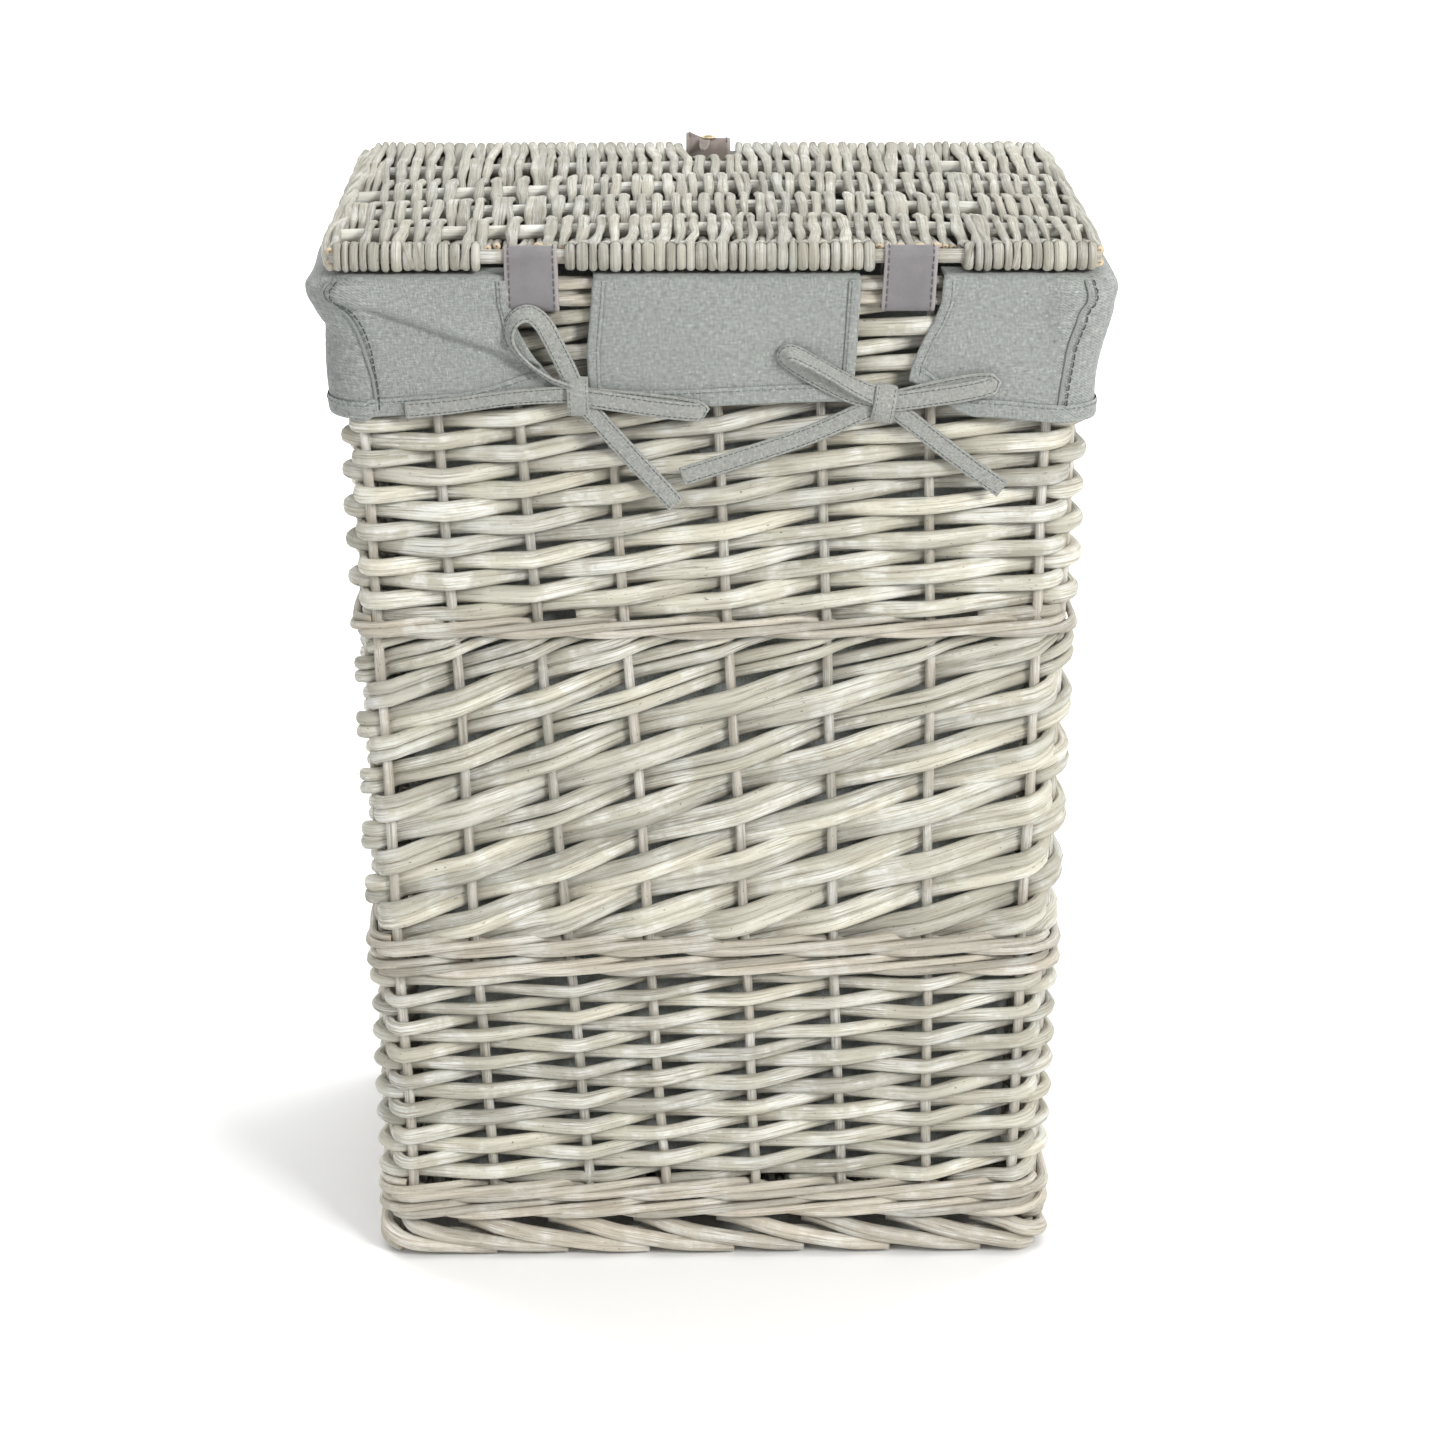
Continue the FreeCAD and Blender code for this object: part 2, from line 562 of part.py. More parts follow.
def cuff_face(z):
    return -(val("foot_half_y") + (val("rim_half_y") - val("foot_half_y")) * z / H
             + val("cuff_gap") + val("cloth_thick"))


def tie(label, knot, strips):
    """Flat tape runs (x, z to x, z) that meet at a thick knot."""
    kx, kz = knot
    lift = 0.5
    y_in = cuff_face(560.0) - lift - 0.4
    solids = [Part.makeBox(15.0, y_in - front, 14.0, V(kx - 7.5, front, kz - 7.0))]
    for (x0, z0), (x1, z1), wide, layers in strips:
        n = math.hypot(x1 - x0, z1 - z0)
        b = Part.makeBox(n, thick * layers, wide, V(0, -thick * layers, -wide / 2))
        ang = math.degrees(math.atan2(z1 - z0, x1 - x0))
        b.Placement = FreeCAD.Placement(V(x0, y_in, z0), ROT(V(0, -1, 0), ang))
        solids.append(b)
    shape = solids[0].multiFuse(solids[1:]).removeSplitter()
    o = doc.addObject("Part::Feature", label + "_shape")
    o.Shape = shape
    o.Placement = FreeCAD.Placement(V(0, 0, 0), ROT())
    return node(o, label)


tie("cuff_tie_left", (-75.1, 534.9), [
    ((-75.1, 534.9), (-101.0, 571.0), 20.0, 2), ((-75.1, 534.9), (-165.0, 528.5), tape, 1),
    ((-75.1, 534.9), (-12.0, 528.5), tape, 2), ((-75.1, 534.9), (-21.0, 474.0), tape, 1)])
tie("cuff_tie_right", (92.2, 530.5), [
    ((92.2, 530.5), (43.0, 552.0), 16.0, 2), ((92.2, 530.5), (147.0, 540.5), tape, 2),
    ((92.2, 530.5), (-16.0, 490.5), tape, 1), ((92.2, 530.5), (156.0, 484.0), tape, 1)])

doc.recompute()

# ----------------------------------------------------------------- check
bad = []
for obj in doc.Objects:
    if "Invalid" in obj.State or "Error" in obj.State:
        bad.append("%s %s" % (obj.Name, obj.State))
for label, obj in NODES.items():
    s = obj.Shape
    if s.isNull() or not s.isValid() or not s.Solids:
        bad.append(label + " shape")
if bad:
    raise SystemExit("not built: " + "; ".join(bad))

for label, obj in NODES.items():
    s = obj.Shape
    box = s.BoundBox
    print("%-20s solids %2d  volume %12.1f  x %7.1f %7.1f  y %7.1f %7.1f  z %7.1f %7.1f" % (
        label, len(s.Solids), s.Volume, box.XMin, box.XMax, box.YMin, box.YMax, box.ZMin, box.ZMax))
    s.exportStep(os.path.join("parts", label + ".step"))
print("nodes", len(NODES))
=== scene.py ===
import bpy
import json
import math
import numpy as np
from mathutils import Vector, Matrix

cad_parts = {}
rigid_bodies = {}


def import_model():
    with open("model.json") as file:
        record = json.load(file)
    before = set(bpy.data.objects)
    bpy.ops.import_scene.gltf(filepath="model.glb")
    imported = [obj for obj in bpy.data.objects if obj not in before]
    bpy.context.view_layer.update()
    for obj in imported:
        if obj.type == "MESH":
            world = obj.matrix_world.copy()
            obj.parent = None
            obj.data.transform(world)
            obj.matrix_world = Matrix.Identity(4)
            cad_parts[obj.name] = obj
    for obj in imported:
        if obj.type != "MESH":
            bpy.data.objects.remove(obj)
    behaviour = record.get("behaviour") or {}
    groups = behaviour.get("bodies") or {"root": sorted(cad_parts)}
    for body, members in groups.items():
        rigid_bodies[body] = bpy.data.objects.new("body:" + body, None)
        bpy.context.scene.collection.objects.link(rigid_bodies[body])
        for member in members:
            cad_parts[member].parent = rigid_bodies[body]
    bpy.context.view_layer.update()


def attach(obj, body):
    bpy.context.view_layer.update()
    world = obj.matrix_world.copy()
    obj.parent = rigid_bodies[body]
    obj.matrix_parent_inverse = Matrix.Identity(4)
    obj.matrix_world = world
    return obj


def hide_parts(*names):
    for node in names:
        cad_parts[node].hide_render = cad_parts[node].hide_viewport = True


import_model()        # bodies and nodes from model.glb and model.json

RNG = np.random.default_rng(4391)
PI = math.pi
MM = 0.001

# =====================================================================
# 1. Wall geometry: everything below is in millimetres until a mesh is made
# =====================================================================
HGT = 602.0
HINGE = [(-179.5, -193.2), (-131.6, -152.2), (-73.6, -107.8), (-28.3, -57.1),
         (25.4, 2.0), (75.6, 58.6), (127.0, 119.2), (177.9, 183.1)]
FREE = [(-180.0, -188.5), (-129.5, -134.0), (-78.0, -81.0), (-26.5, -27.0),
        (25.0, 27.5), (77.5, 80.0), (128.0, 135.0), (179.5, 188.0)]
LEFT = [(-117.0, -124.5), (-72.0, -77.5), (-24.0, -27.0),
        (24.5, 25.0), (72.0, 76.0), (117.5, 124.0)]
RIGHT = [(-117.5, -125.0), (-71.0, -74.0), (-23.5, -24.5),
         (25.5, 27.0), (73.0, 77.0), (118.0, 124.5)]
RC = 12.0


def half(z):
    return 190.6 + 8.9 * z / HGT, 130.6 + 8.9 * z / HGT


def lengths(z):
    mx, my = half(z)
    return 2 * (mx - RC), 2 * (my - RC), PI / 2 * RC


def total(z):
    a, b, c = lengths(z)
    return 2 * a + 2 * b + 4 * c


def wall(u, z, off):
    """Point and outward normal on the wall's middle surface, moved out by off."""
    u, z, off = np.broadcast_arrays(np.asarray(u, float), np.asarray(z, float), np.asarray(off, float))
    mx, my = half(z)
    L1, L2, La = lengths(z)
    L = 2 * L1 + 2 * L2 + 4 * La
    v = np.mod(u, L)
    px, py, nx, ny = (np.zeros_like(v) for _ in range(4))
    edges = [L1 / 2, L1 / 2 + La, L1 / 2 + La + L2, L1 / 2 + 2 * La + L2,
             1.5 * L1 + 2 * La + L2, 1.5 * L1 + 3 * La + L2, 1.5 * L1 + 3 * La + 2 * L2,
             1.5 * L1 + 4 * La + 2 * L2]
    ax, ay = mx - RC, my - RC

    def put(m, x, y, a, b):
        px[m], py[m], nx[m], ny[m] = x[m], y[m], a[m], b[m]
    one, zero = np.ones_like(v), np.zeros_like(v)
    m = v < edges[0]
    put(m, v, -my, zero, -one)
    m = (v >= edges[0]) & (v < edges[1])
    th = -PI / 2 + (v - edges[0]) / RC
    put(m, ax + RC * np.cos(th), -ay + RC * np.sin(th), np.cos(th), np.sin(th))
    m = (v >= edges[1]) & (v < edges[2])
    put(m, mx, -ay + (v - edges[1]), one, zero)
    m = (v >= edges[2]) & (v < edges[3])
    th = (v - edges[2]) / RC
    put(m, ax + RC * np.cos(th), ay + RC * np.sin(th), np.cos(th), np.sin(th))
    m = (v >= edges[3]) & (v < edges[4])
    put(m, ax - (v - edges[3]), my, zero, one)
    m = (v >= edges[4]) & (v < edges[5])
    th = PI / 2 + (v - edges[4]) / RC
    put(m, -ax + RC * np.cos(th), ay + RC * np.sin(th), np.cos(th), np.sin(th))
    m = (v >= edges[5]) & (v < edges[6])
    put(m, -mx, ay - (v - edges[5]), -one, zero)
    m = (v >= edges[6]) & (v < edges[7])
    th = PI + (v - edges[6]) / RC
    put(m, -ax + RC * np.cos(th), -ay + RC * np.sin(th), np.cos(th), np.sin(th))
    m = v >= edges[7]
    put(m, -ax + (v - edges[7]), -my, zero, -one)
    P = np.stack([px + nx * off, py + ny * off, z], axis=-1)
    N = np.stack([nx, ny, np.zeros_like(nx)], axis=-1)
    return P, N


def u_front(x, z):
    """Perimeter coordinate of a hinge-side point from its x."""
    mx, my = half(np.asarray(z, float))
    x = np.asarray(x, float)
    over = np.clip(np.abs(x) - (mx - RC), 0, RC * 0.999)
    return np.sign(x) * (np.minimum(np.abs(x), mx - RC) + RC * np.arcsin(over / RC))


def stake_u(k, z):
    """Perimeter coordinate of stake k (0 to 27, round from the hinge side's left)."""
    z = np.asarray(z, float)
    lap, k = divmod(int(k), 28)
    if k < 8:
        lo, hi = HINGE[k]
    elif k < 14:
        lo, hi = RIGHT[k - 8]
    elif k < 22:
        lo, hi = FREE[::-1][k - 14]
    else:
        lo, hi = LEFT[::-1][k - 22]
    along = lo + (hi - lo) * (z - 45.0) / 470.0
    mx, my = half(z)
    L1, L2, La = lengths(z)
    L = 2 * L1 + 2 * L2 + 4 * La
    if k < 8:
        c, span, base, sgn = along, mx - RC, 0.0, 1
    elif k < 14:
        c, span, base, sgn = along, my - RC, L1 / 2 + La + L2 / 2, 1
    elif k < 22:
        c, span, base, sgn = along, mx - RC, L1 + 2 * La + L2, -1
    else:
        c, span, base, sgn = along, my - RC, 1.5 * L1 + 3 * La + 1.5 * L2, -1
    over = np.clip(np.abs(c) - span, 0, RC * 0.999)
    loc = np.sign(c) * (np.minimum(np.abs(c), span) + RC * np.arcsin(over / RC))
    return base + sgn * loc + lap * L


def u_at(t, z):
    """Perimeter coordinate at stake position t (a real number) and height z."""
    t, z = np.broadcast_arrays(np.asarray(t, float), np.asarray(z, float))
    k = np.floor(t).astype(int)
    out = np.zeros_like(t)
    for kk in np.unique(k):
        m = k == kk
        a, b = stake_u(kk, z[m]), stake_u(kk + 1, z[m])
        out[m] = a + (b - a) * (t[m] - kk)
    return out


def step(x, a, b):
    q = np.clip((x - a) / (b - a), 0, 1)
    return q * q * (3 - 2 * q)


def smooth_noise(x, rng, scale, octaves=2):
    """Smooth random function of x with about unit size."""
    y = np.zeros_like(x, dtype=float)
    amp = 1.0
    for o in range(octaves):
        for _ in range(3):
            f = (0.6 + 0.8 * rng.random()) * (2 ** o) / scale
            y += amp * np.sin(2 * PI * f * x + 2 * PI * rng.random()) / 1.8
        amp *= 0.5
    return y


# =====================================================================
# 2. Mesh building
# =====================================================================
class Acc:
    """Collects faces of several pieces, with a UV in metres and a tint per rod."""

    def __init__(self):
        self.v, self.loops, self.sizes, self.uv, self.rid, self.mat, self.n = [], [], [], [], [], [], 0
        self.wear_and_shade = []

    def add(self, verts, faces, uvs, rid, mat=0, wear_and_shade=0.0):
        """faces: (F, k) indices; uvs: (F, k, 2)."""
        self.v.append(verts)
        self.rid.append(np.full(len(verts), rid) if np.isscalar(rid) else np.asarray(rid, float))
        self.wear_and_shade.append(np.full(len(verts), wear_and_shade) if np.isscalar(wear_and_shade) else np.asarray(wear_and_shade, float))
        self._faces(faces, uvs, mat)
        self.n += len(verts)

    def _faces(self, faces, uvs, mat):
        faces = np.asarray(faces)
        self.loops.append((faces + self.n).ravel())
        self.sizes.append(np.full(len(faces), faces.shape[1]))
        self.uv.append(np.asarray(uvs, float).reshape(-1, 2))
        self.mat.append(np.full(len(faces), mat))

    def build(self, name, materials, smooth=True):
        me = bpy.data.meshes.new(name)
        v = np.concatenate(self.v) * MM
        loops = np.concatenate(self.loops)
        sizes = np.concatenate(self.sizes)
        starts = np.concatenate([[0], np.cumsum(sizes)[:-1]])
        me.vertices.add(len(v))
        me.vertices.foreach_set("co", v.astype(np.float32).ravel())
        me.loops.add(len(loops))
        me.loops.foreach_set("vertex_index", loops.astype(np.int32))
        me.polygons.add(len(sizes))
        me.polygons.foreach_set("loop_start", starts.astype(np.int32))
        me.polygons.foreach_set("loop_total", sizes.astype(np.int32))
        me.polygons.foreach_set("material_index", np.concatenate(self.mat).astype(np.int32))
        me.polygons.foreach_set("use_smooth", np.full(len(sizes), smooth))
        uvl = me.uv_layers.new(name="UVMap")
        uvl.data.foreach_set("uv", np.concatenate(self.uv).astype(np.float32).ravel())
        for aname, data in (("rid", self.rid), ("wear_and_shade", self.wear_and_shade)):
            at = me.attributes.new(aname, "FLOAT", "POINT")
            at.data.foreach_set("value", np.concatenate(data).astype(np.float32))
        me.update(calc_edges=True)
        me.validate()
        ob = bpy.data.objects.new(name, me)
        bpy.context.scene.collection.objects.link(ob)
        for m in materials:
            me.materials.append(m)
        return ob


def sweep(acc, P, O, a, b, sides=9, rid=0.0, mat=0, cap_mat=1, wear_and_shade=0.0, v0=0.0, square=1.0, round_ends=0.0):
    """A rod: an oval of half sizes a (along O) and b (across) swept along P."""
    P = np.asarray(P, float)
    n = len(P)
    T = np.gradient(P, axis=0)
    T /= np.linalg.norm(T, axis=1, keepdims=True) + 1e-12
    O = np.broadcast_to(np.asarray(O, float), P.shape)
    W = np.cross(T, O)
    W /= np.linalg.norm(W, axis=1, keepdims=True) + 1e-12
    O2 = np.cross(W, T)
    a = np.broadcast_to(np.asarray(a, float), (n,)).copy()
    b = np.broadcast_to(np.asarray(b, float), (n,)).copy()
    s = np.concatenate([[0], np.cumsum(np.linalg.norm(np.diff(P, axis=0), axis=1))])
    if round_ends:
        for d in (s, s[-1] - s):
            q = np.clip(d / round_ends, 0, 1)
            f = 0.35 + 0.65 * np.sqrt(1 - (1 - q) ** 2)
            a *= f
            b *= f
    ph = PI + 2 * PI * np.arange(sides) / sides      # the UV seam is on the inner side
    c, d = np.cos(ph), np.sin(ph)
    if square != 1.0:
        c = np.sign(c) * np.abs(c) ** square
        d = np.sign(d) * np.abs(d) ** square
    V = (P[:, None, :] + O2[:, None, :] * (a[:, None] * c)[..., None]
         + W[:, None, :] * (b[:, None] * d)[..., None])
    idx = np.arange(n * sides).reshape(n, sides)
    nxt = np.roll(idx, -1, axis=1)
    F = np.stack([idx[:-1], nxt[:-1], nxt[1:], idx[1:]], axis=-1).reshape(-1, 4)
    uu = np.arange(sides + 1) / sides
    U0, U1 = np.broadcast_to(uu[:-1], (n - 1, sides)), np.broadcast_to(uu[1:], (n - 1, sides))
    S0 = np.broadcast_to((s[:-1] * MM + v0)[:, None], (n - 1, sides))
    S1 = np.broadcast_to((s[1:] * MM + v0)[:, None], (n - 1, sides))
    UV = np.stack([np.stack([U0, S0], -1), np.stack([U1, S0], -1),
                   np.stack([U1, S1], -1), np.stack([U0, S1], -1)], axis=2).reshape(-1, 4, 2)
    # W x O order decides which way the faces look
    w = wear_and_shade if np.isscalar(wear_and_shade) else np.repeat(np.asarray(wear_and_shade, float), sides)
    acc.v.append(V.reshape(-1, 3))
    acc.rid.append(np.full(n * sides, rid))
    acc.wear_and_shade.append(np.full(n * sides, w) if np.isscalar(w) else w)
    acc._faces(F[:, ::-1], UV[:, ::-1], mat)
    ends = np.stack([idx[0], idx[-1][::-1]])
    cu = np.stack([0.5 + 0.5 * np.cos(ph), 0.5 + 0.5 * np.sin(ph)], -1)
    acc._faces(ends, np.stack([cu, cu[::-1]]), cap_mat)
    acc.n += n * sides
    return s


def resample(points, step):
    """A smooth Catmull-Rom line through points, sampled about every step."""
    p = np.asarray(points, float)
    p = np.vstack([2 * p[0] - p[1], p, 2 * p[-1] - p[-2]])
    out = []
    for i in range(1, len(p) - 2):
        seg = np.linalg.norm(p[i + 1] - p[i])
        m = max(2, int(math.ceil(seg / step)))
        t = np.linspace(0, 1, m, endpoint=False)[:, None]
        a, b, c, d = p[i - 1], p[i], p[i + 1], p[i + 2]
        out.append(0.5 * ((2 * b) + (-a + c) * t + (2 * a - 5 * b + 4 * c - d) * t ** 2
                          + (-a + 3 * b - 3 * c + d) * t ** 3))
    out.append(p[-2][None, :])
    return np.vstack(out)


# =====================================================================
# 3. Materials
# =====================================================================
def srgb(r, g, b):
    f = lambda c: c / 12.92 if c <= 0.04045 else ((c + 0.055) / 1.055) ** 2.4
    return (f(r / 255.0), f(g / 255.0), f(b / 255.0), 1.0)


class Nodes:
    def __init__(self, name):
        self.mat = bpy.data.materials.new(name)
        self.mat.use_nodes = True
        self.t = self.mat.node_tree
        self.t.nodes.clear()
        self.out = self.new("ShaderNodeOutputMaterial")
        self.bsdf = self.new("ShaderNodeBsdfPrincipled")
        self.t.links.new(self.bsdf.outputs[0], self.out.inputs[0])

    def new(self, kind, **kw):
        n = self.t.nodes.new(kind)
        for k, v in kw.items():
            setattr(n, k, v)
        return n

    def link(self, a, b):
        self.t.links.new(a, b)

    def attr(self, name):
        return self.new("ShaderNodeAttribute", attribute_name=name).outputs["Fac"]

    def uv(self):
        return self.new("ShaderNodeUVMap", uv_map="UVMap").outputs[0]

    def obj(self):
        return self.new("ShaderNodeTexCoord").outputs["Object"]

    def math(self, op, a, b=None, c=None, clamp=False):
        n = self.new("ShaderNodeMath", operation=op, use_clamp=clamp)
        for i, x in enumerate((a, b, c)):
            if x is None:
                continue
            if hasattr(x, "links"):
                self.link(x, n.inputs[i])
            else:
                n.inputs[i].default_value = x
        return n.outputs[0]

    def vec(self, op, a, b=None, scale=None):
        n = self.new("ShaderNodeVectorMath", operation=op)
        for i, x in enumerate((a, b)):
            if x is None:
                continue
            if hasattr(x, "links"):
                self.link(x, n.inputs[i])
            else:
                n.inputs[i].default_value = x
        if scale is not None:
            n.inputs["Scale"].default_value = scale
        return n.outputs[0]

    def combine(self, x, y, z):
        n = self.new("ShaderNodeCombineXYZ")
        for i, s in enumerate((x, y, z)):
            if hasattr(s, "links"):
                self.link(s, n.inputs[i])
            else:
                n.inputs[i].default_value = s
        return n.outputs[0]

    def split(self, v):
        n = self.new("ShaderNodeSeparateXYZ")
        self.link(v, n.inputs[0])
        return n.outputs

    def noise(self, vec, scale, detail=3.0, rough=0.55, dist=0.0, dims="3D"):
        n = self.new("ShaderNodeTexNoise", noise_dimensions=dims)
        if vec is not None:
            self.link(vec, n.inputs["Vector"])
        n.inputs["Scale"].default_value = scale
        n.inputs["Detail"].default_value = detail
        n.inputs["Roughness"].default_value = rough
        n.inputs["Distortion"].default_value = dist
        return n.outputs["Fac"]

    def ramp(self, fac, stops, mode="LINEAR"):
        n = self.new("ShaderNodeValToRGB")
        n.color_ramp.interpolation = mode
        e = n.color_ramp.elements
        while len(e) < len(stops):
            e.new(0.5)
        for i, (p, c) in enumerate(stops):
            e[i].position = p
            e[i].color = c if hasattr(c, "__len__") else (c, c, c, 1)
        self.link(fac, n.inputs[0])
        return n.outputs[0]

    def mix(self, fac, a, b, blend="MIX"):
        n = self.new("ShaderNodeMix", data_type="RGBA", blend_type=blend, clamp_factor=True)
        for sock, x in ((n.inputs[0], fac), (n.inputs[6], a), (n.inputs[7], b)):
            if hasattr(x, "links"):
                self.link(x, sock)
            else:
                sock.default_value = x
        return n.outputs[2]

    def hsv(self, color, h=0.5, s=1.0, v=1.0):
        n = self.new("ShaderNodeHueSaturation")
        for key, x in (("Hue", h), ("Saturation", s), ("Value", v)):
            if hasattr(x, "links"):
                self.link(x, n.inputs[key])
            else:
                n.inputs[key].default_value = x
        self.link(color, n.inputs["Color"])
        return n.outputs[0]

    def bump(self, height, strength, distance, normal=None):
        n = self.new("ShaderNodeBump")
        n.inputs["Strength"].default_value = strength
        n.inputs["Distance"].default_value = distance
        self.link(height, n.inputs["Height"])
        if normal is not None:
            self.link(normal, n.inputs["Normal"])
        return n.outputs[0]

    def done(self, color, rough, normal=None, **sock):
        B = self.bsdf
        self.link(color, B.inputs["Base Color"]) if hasattr(color, "links") else \
            B.inputs["Base Color"].__setattr__("default_value", color)
        if hasattr(rough, "links"):
            self.link(rough, B.inputs["Roughness"])
        else:
            B.inputs["Roughness"].default_value = rough
        if normal is not None:
            self.link(normal, B.inputs["Normal"])
        for k, v in sock.items():
            B.inputs[k.replace("_", " ")].default_value = v
        return self.mat


def willow(name, light, mid, dark, wash=0.5, grain=1.0, grey=0.35, warm=None, shade_and_stain=0.5):
    """Peeled, white-washed willow: long streaks, wash lying in patches, specks."""
    N = Nodes(name)
    uv, rid, wear_and_shade, ob = N.uv(), N.attr("rid"), N.attr("wear_and_shade"), N.obj()
    x, y, _ = N.split(uv)
    shift = N.math("MULTIPLY", rid, 37.0)
    # the grain coordinate closes on itself round the rod
    cx = N.math("COSINE", N.math("MULTIPLY", x, 2 * PI))
    cy = N.math("SINE", N.math("MULTIPLY", x, 2 * PI))

    def grainy(k, along, add):
        yy = N.math("ADD", N.math("MULTIPLY", y, along), N.math("MULTIPLY", shift, add))
        return N.combine(N.math("MULTIPLY", cx, k), N.math("MULTIPLY", cy, k), yy)
    fine = N.noise(grainy(4.6, 34.0, 1.0), 1.0, 4.0, 0.65)
    broad = N.noise(grainy(1.3, 15.0, 2.3), 1.0, 3.0, 0.55, 0.3)
    slow = N.noise(grainy(0.35, 8.0, 3.1), 1.0, 2.0, 0.5)
    scratch = N.noise(grainy(9.0, 60.0, 1.7), 1.0, 3.0, 0.7)
    patch = N.noise(ob, 46.0, 4.0, 0.62)
    patch2 = N.noise(ob, 15.0, 2.0, 0.5)
    speck = N.noise(grainy(3.0, 330.0, 0.7), 1.0, 2.0, 0.5)
    base = N.ramp(broad, [(0.30, dark), (0.46, mid), (0.64, light)])
    tint = N.math("FRACT", N.math("MULTIPLY", rid, 7.31))
    tint2 = N.math("FRACT", N.math("MULTIPLY", rid, 3.77))
    base = N.mix(N.math("MULTIPLY", tint, 0.42), base, warm or mid)
    greyed = N.ramp(N.math("ADD", slow, N.math("MULTIPLY", N.math("SUBTRACT", tint2, 0.5), 0.26)), [(0.44, 0.0), (0.60, 1.0)])
    base = N.mix(N.math("MULTIPLY", greyed, grey), base, srgb(150, 147, 135))
    streak = N.ramp(fine, [(0.34, 1.0), (0.47, 0.0)])
    base = N.mix(N.math("MULTIPLY", streak, 0.50 * grain), base, srgb(124, 114, 100))
    hair = N.ramp(scratch, [(0.30, 1.0), (0.38, 0.0)])
    base = N.mix(N.math("MULTIPLY", hair, 0.40 * grain), base, srgb(92, 82, 70))
    whites = N.math("MULTIPLY", N.ramp(patch, [(0.48, 0.0), (0.60, 1.0)]), N.ramp(fine, [(0.42, 0.0), (0.58, 1.0)]))
    base = N.mix(N.math("MULTIPLY", whites, wash), base, srgb(235, 236, 233))
    lumps = N.math("MULTIPLY", N.ramp(scratch, [(0.62, 0.0), (0.68, 1.0)]), N.ramp(patch2, [(0.48, 0.0), (0.62, 1.0)]))
    base = N.mix(N.math("MULTIPLY", lumps, 0.75), base, srgb(238, 240, 243))
    dots = N.math("MULTIPLY", N.ramp(speck, [(0.67, 0.0), (0.73, 1.0)]), N.ramp(patch, [(0.42, 1.0), (0.56, 0.0)]))
    base = N.mix(N.math("MULTIPLY", dots, 0.7), base, srgb(84, 68, 54))
    # painted shade and dirt: the per-vertex value darkens the willow towards grey-brown, as painted shade in recesses
    # and under the sticks and as real wear
    shade_and_dirt = N.math("MULTIPLY", wear_and_shade, N.ramp(N.math("ADD", fine, N.math("MULTIPLY", patch, 0.35)), [(0.50, 1.0), (0.86, 0.15)]))
    base = N.mix(N.math("MULTIPLY", shade_and_dirt, shade_and_stain), base, srgb(112, 104, 92))
    base = N.hsv(base, 0.5, 1.0, N.math("ADD", 0.84, N.math("MULTIPLY", tint, 0.24)))
    rough = N.math("ADD", 0.48, N.math("MULTIPLY", patch, 0.24))
    ht = N.math("ADD", N.math("MULTIPLY", fine, 0.8), N.math("ADD", N.math("MULTIPLY", broad, 0.5), N.math("MULTIPLY", scratch, 0.3)))
    nrm = N.bump(ht, 0.75 * grain, 0.0009)
    return N.done(base, rough, nrm, Specular_IOR_Level=0.34)


def cut_end(name):
    N = Nodes(name)
    x, y, _ = N.split(N.uv())
    r = N.math("SQRT", N.math("ADD", N.math("POWER", N.math("SUBTRACT", x, 0.5), 2.0),
                              N.math("POWER", N.math("SUBTRACT", y, 0.5), 2.0)))
    n = N.noise(N.obj(), 900.0, 3.0)
    col = N.ramp(N.math("ADD", r, N.math("MULTIPLY", N.math("SUBTRACT", n, 0.5), 0.2)),
                 [(0.05, srgb(116, 86, 62)), (0.16, srgb(196, 176, 148)), (0.40, srgb(206, 190, 164)), (0.5, srgb(150, 130, 108))])
    return N.done(col, 0.8, N.bump(n, 0.4, 0.0005))


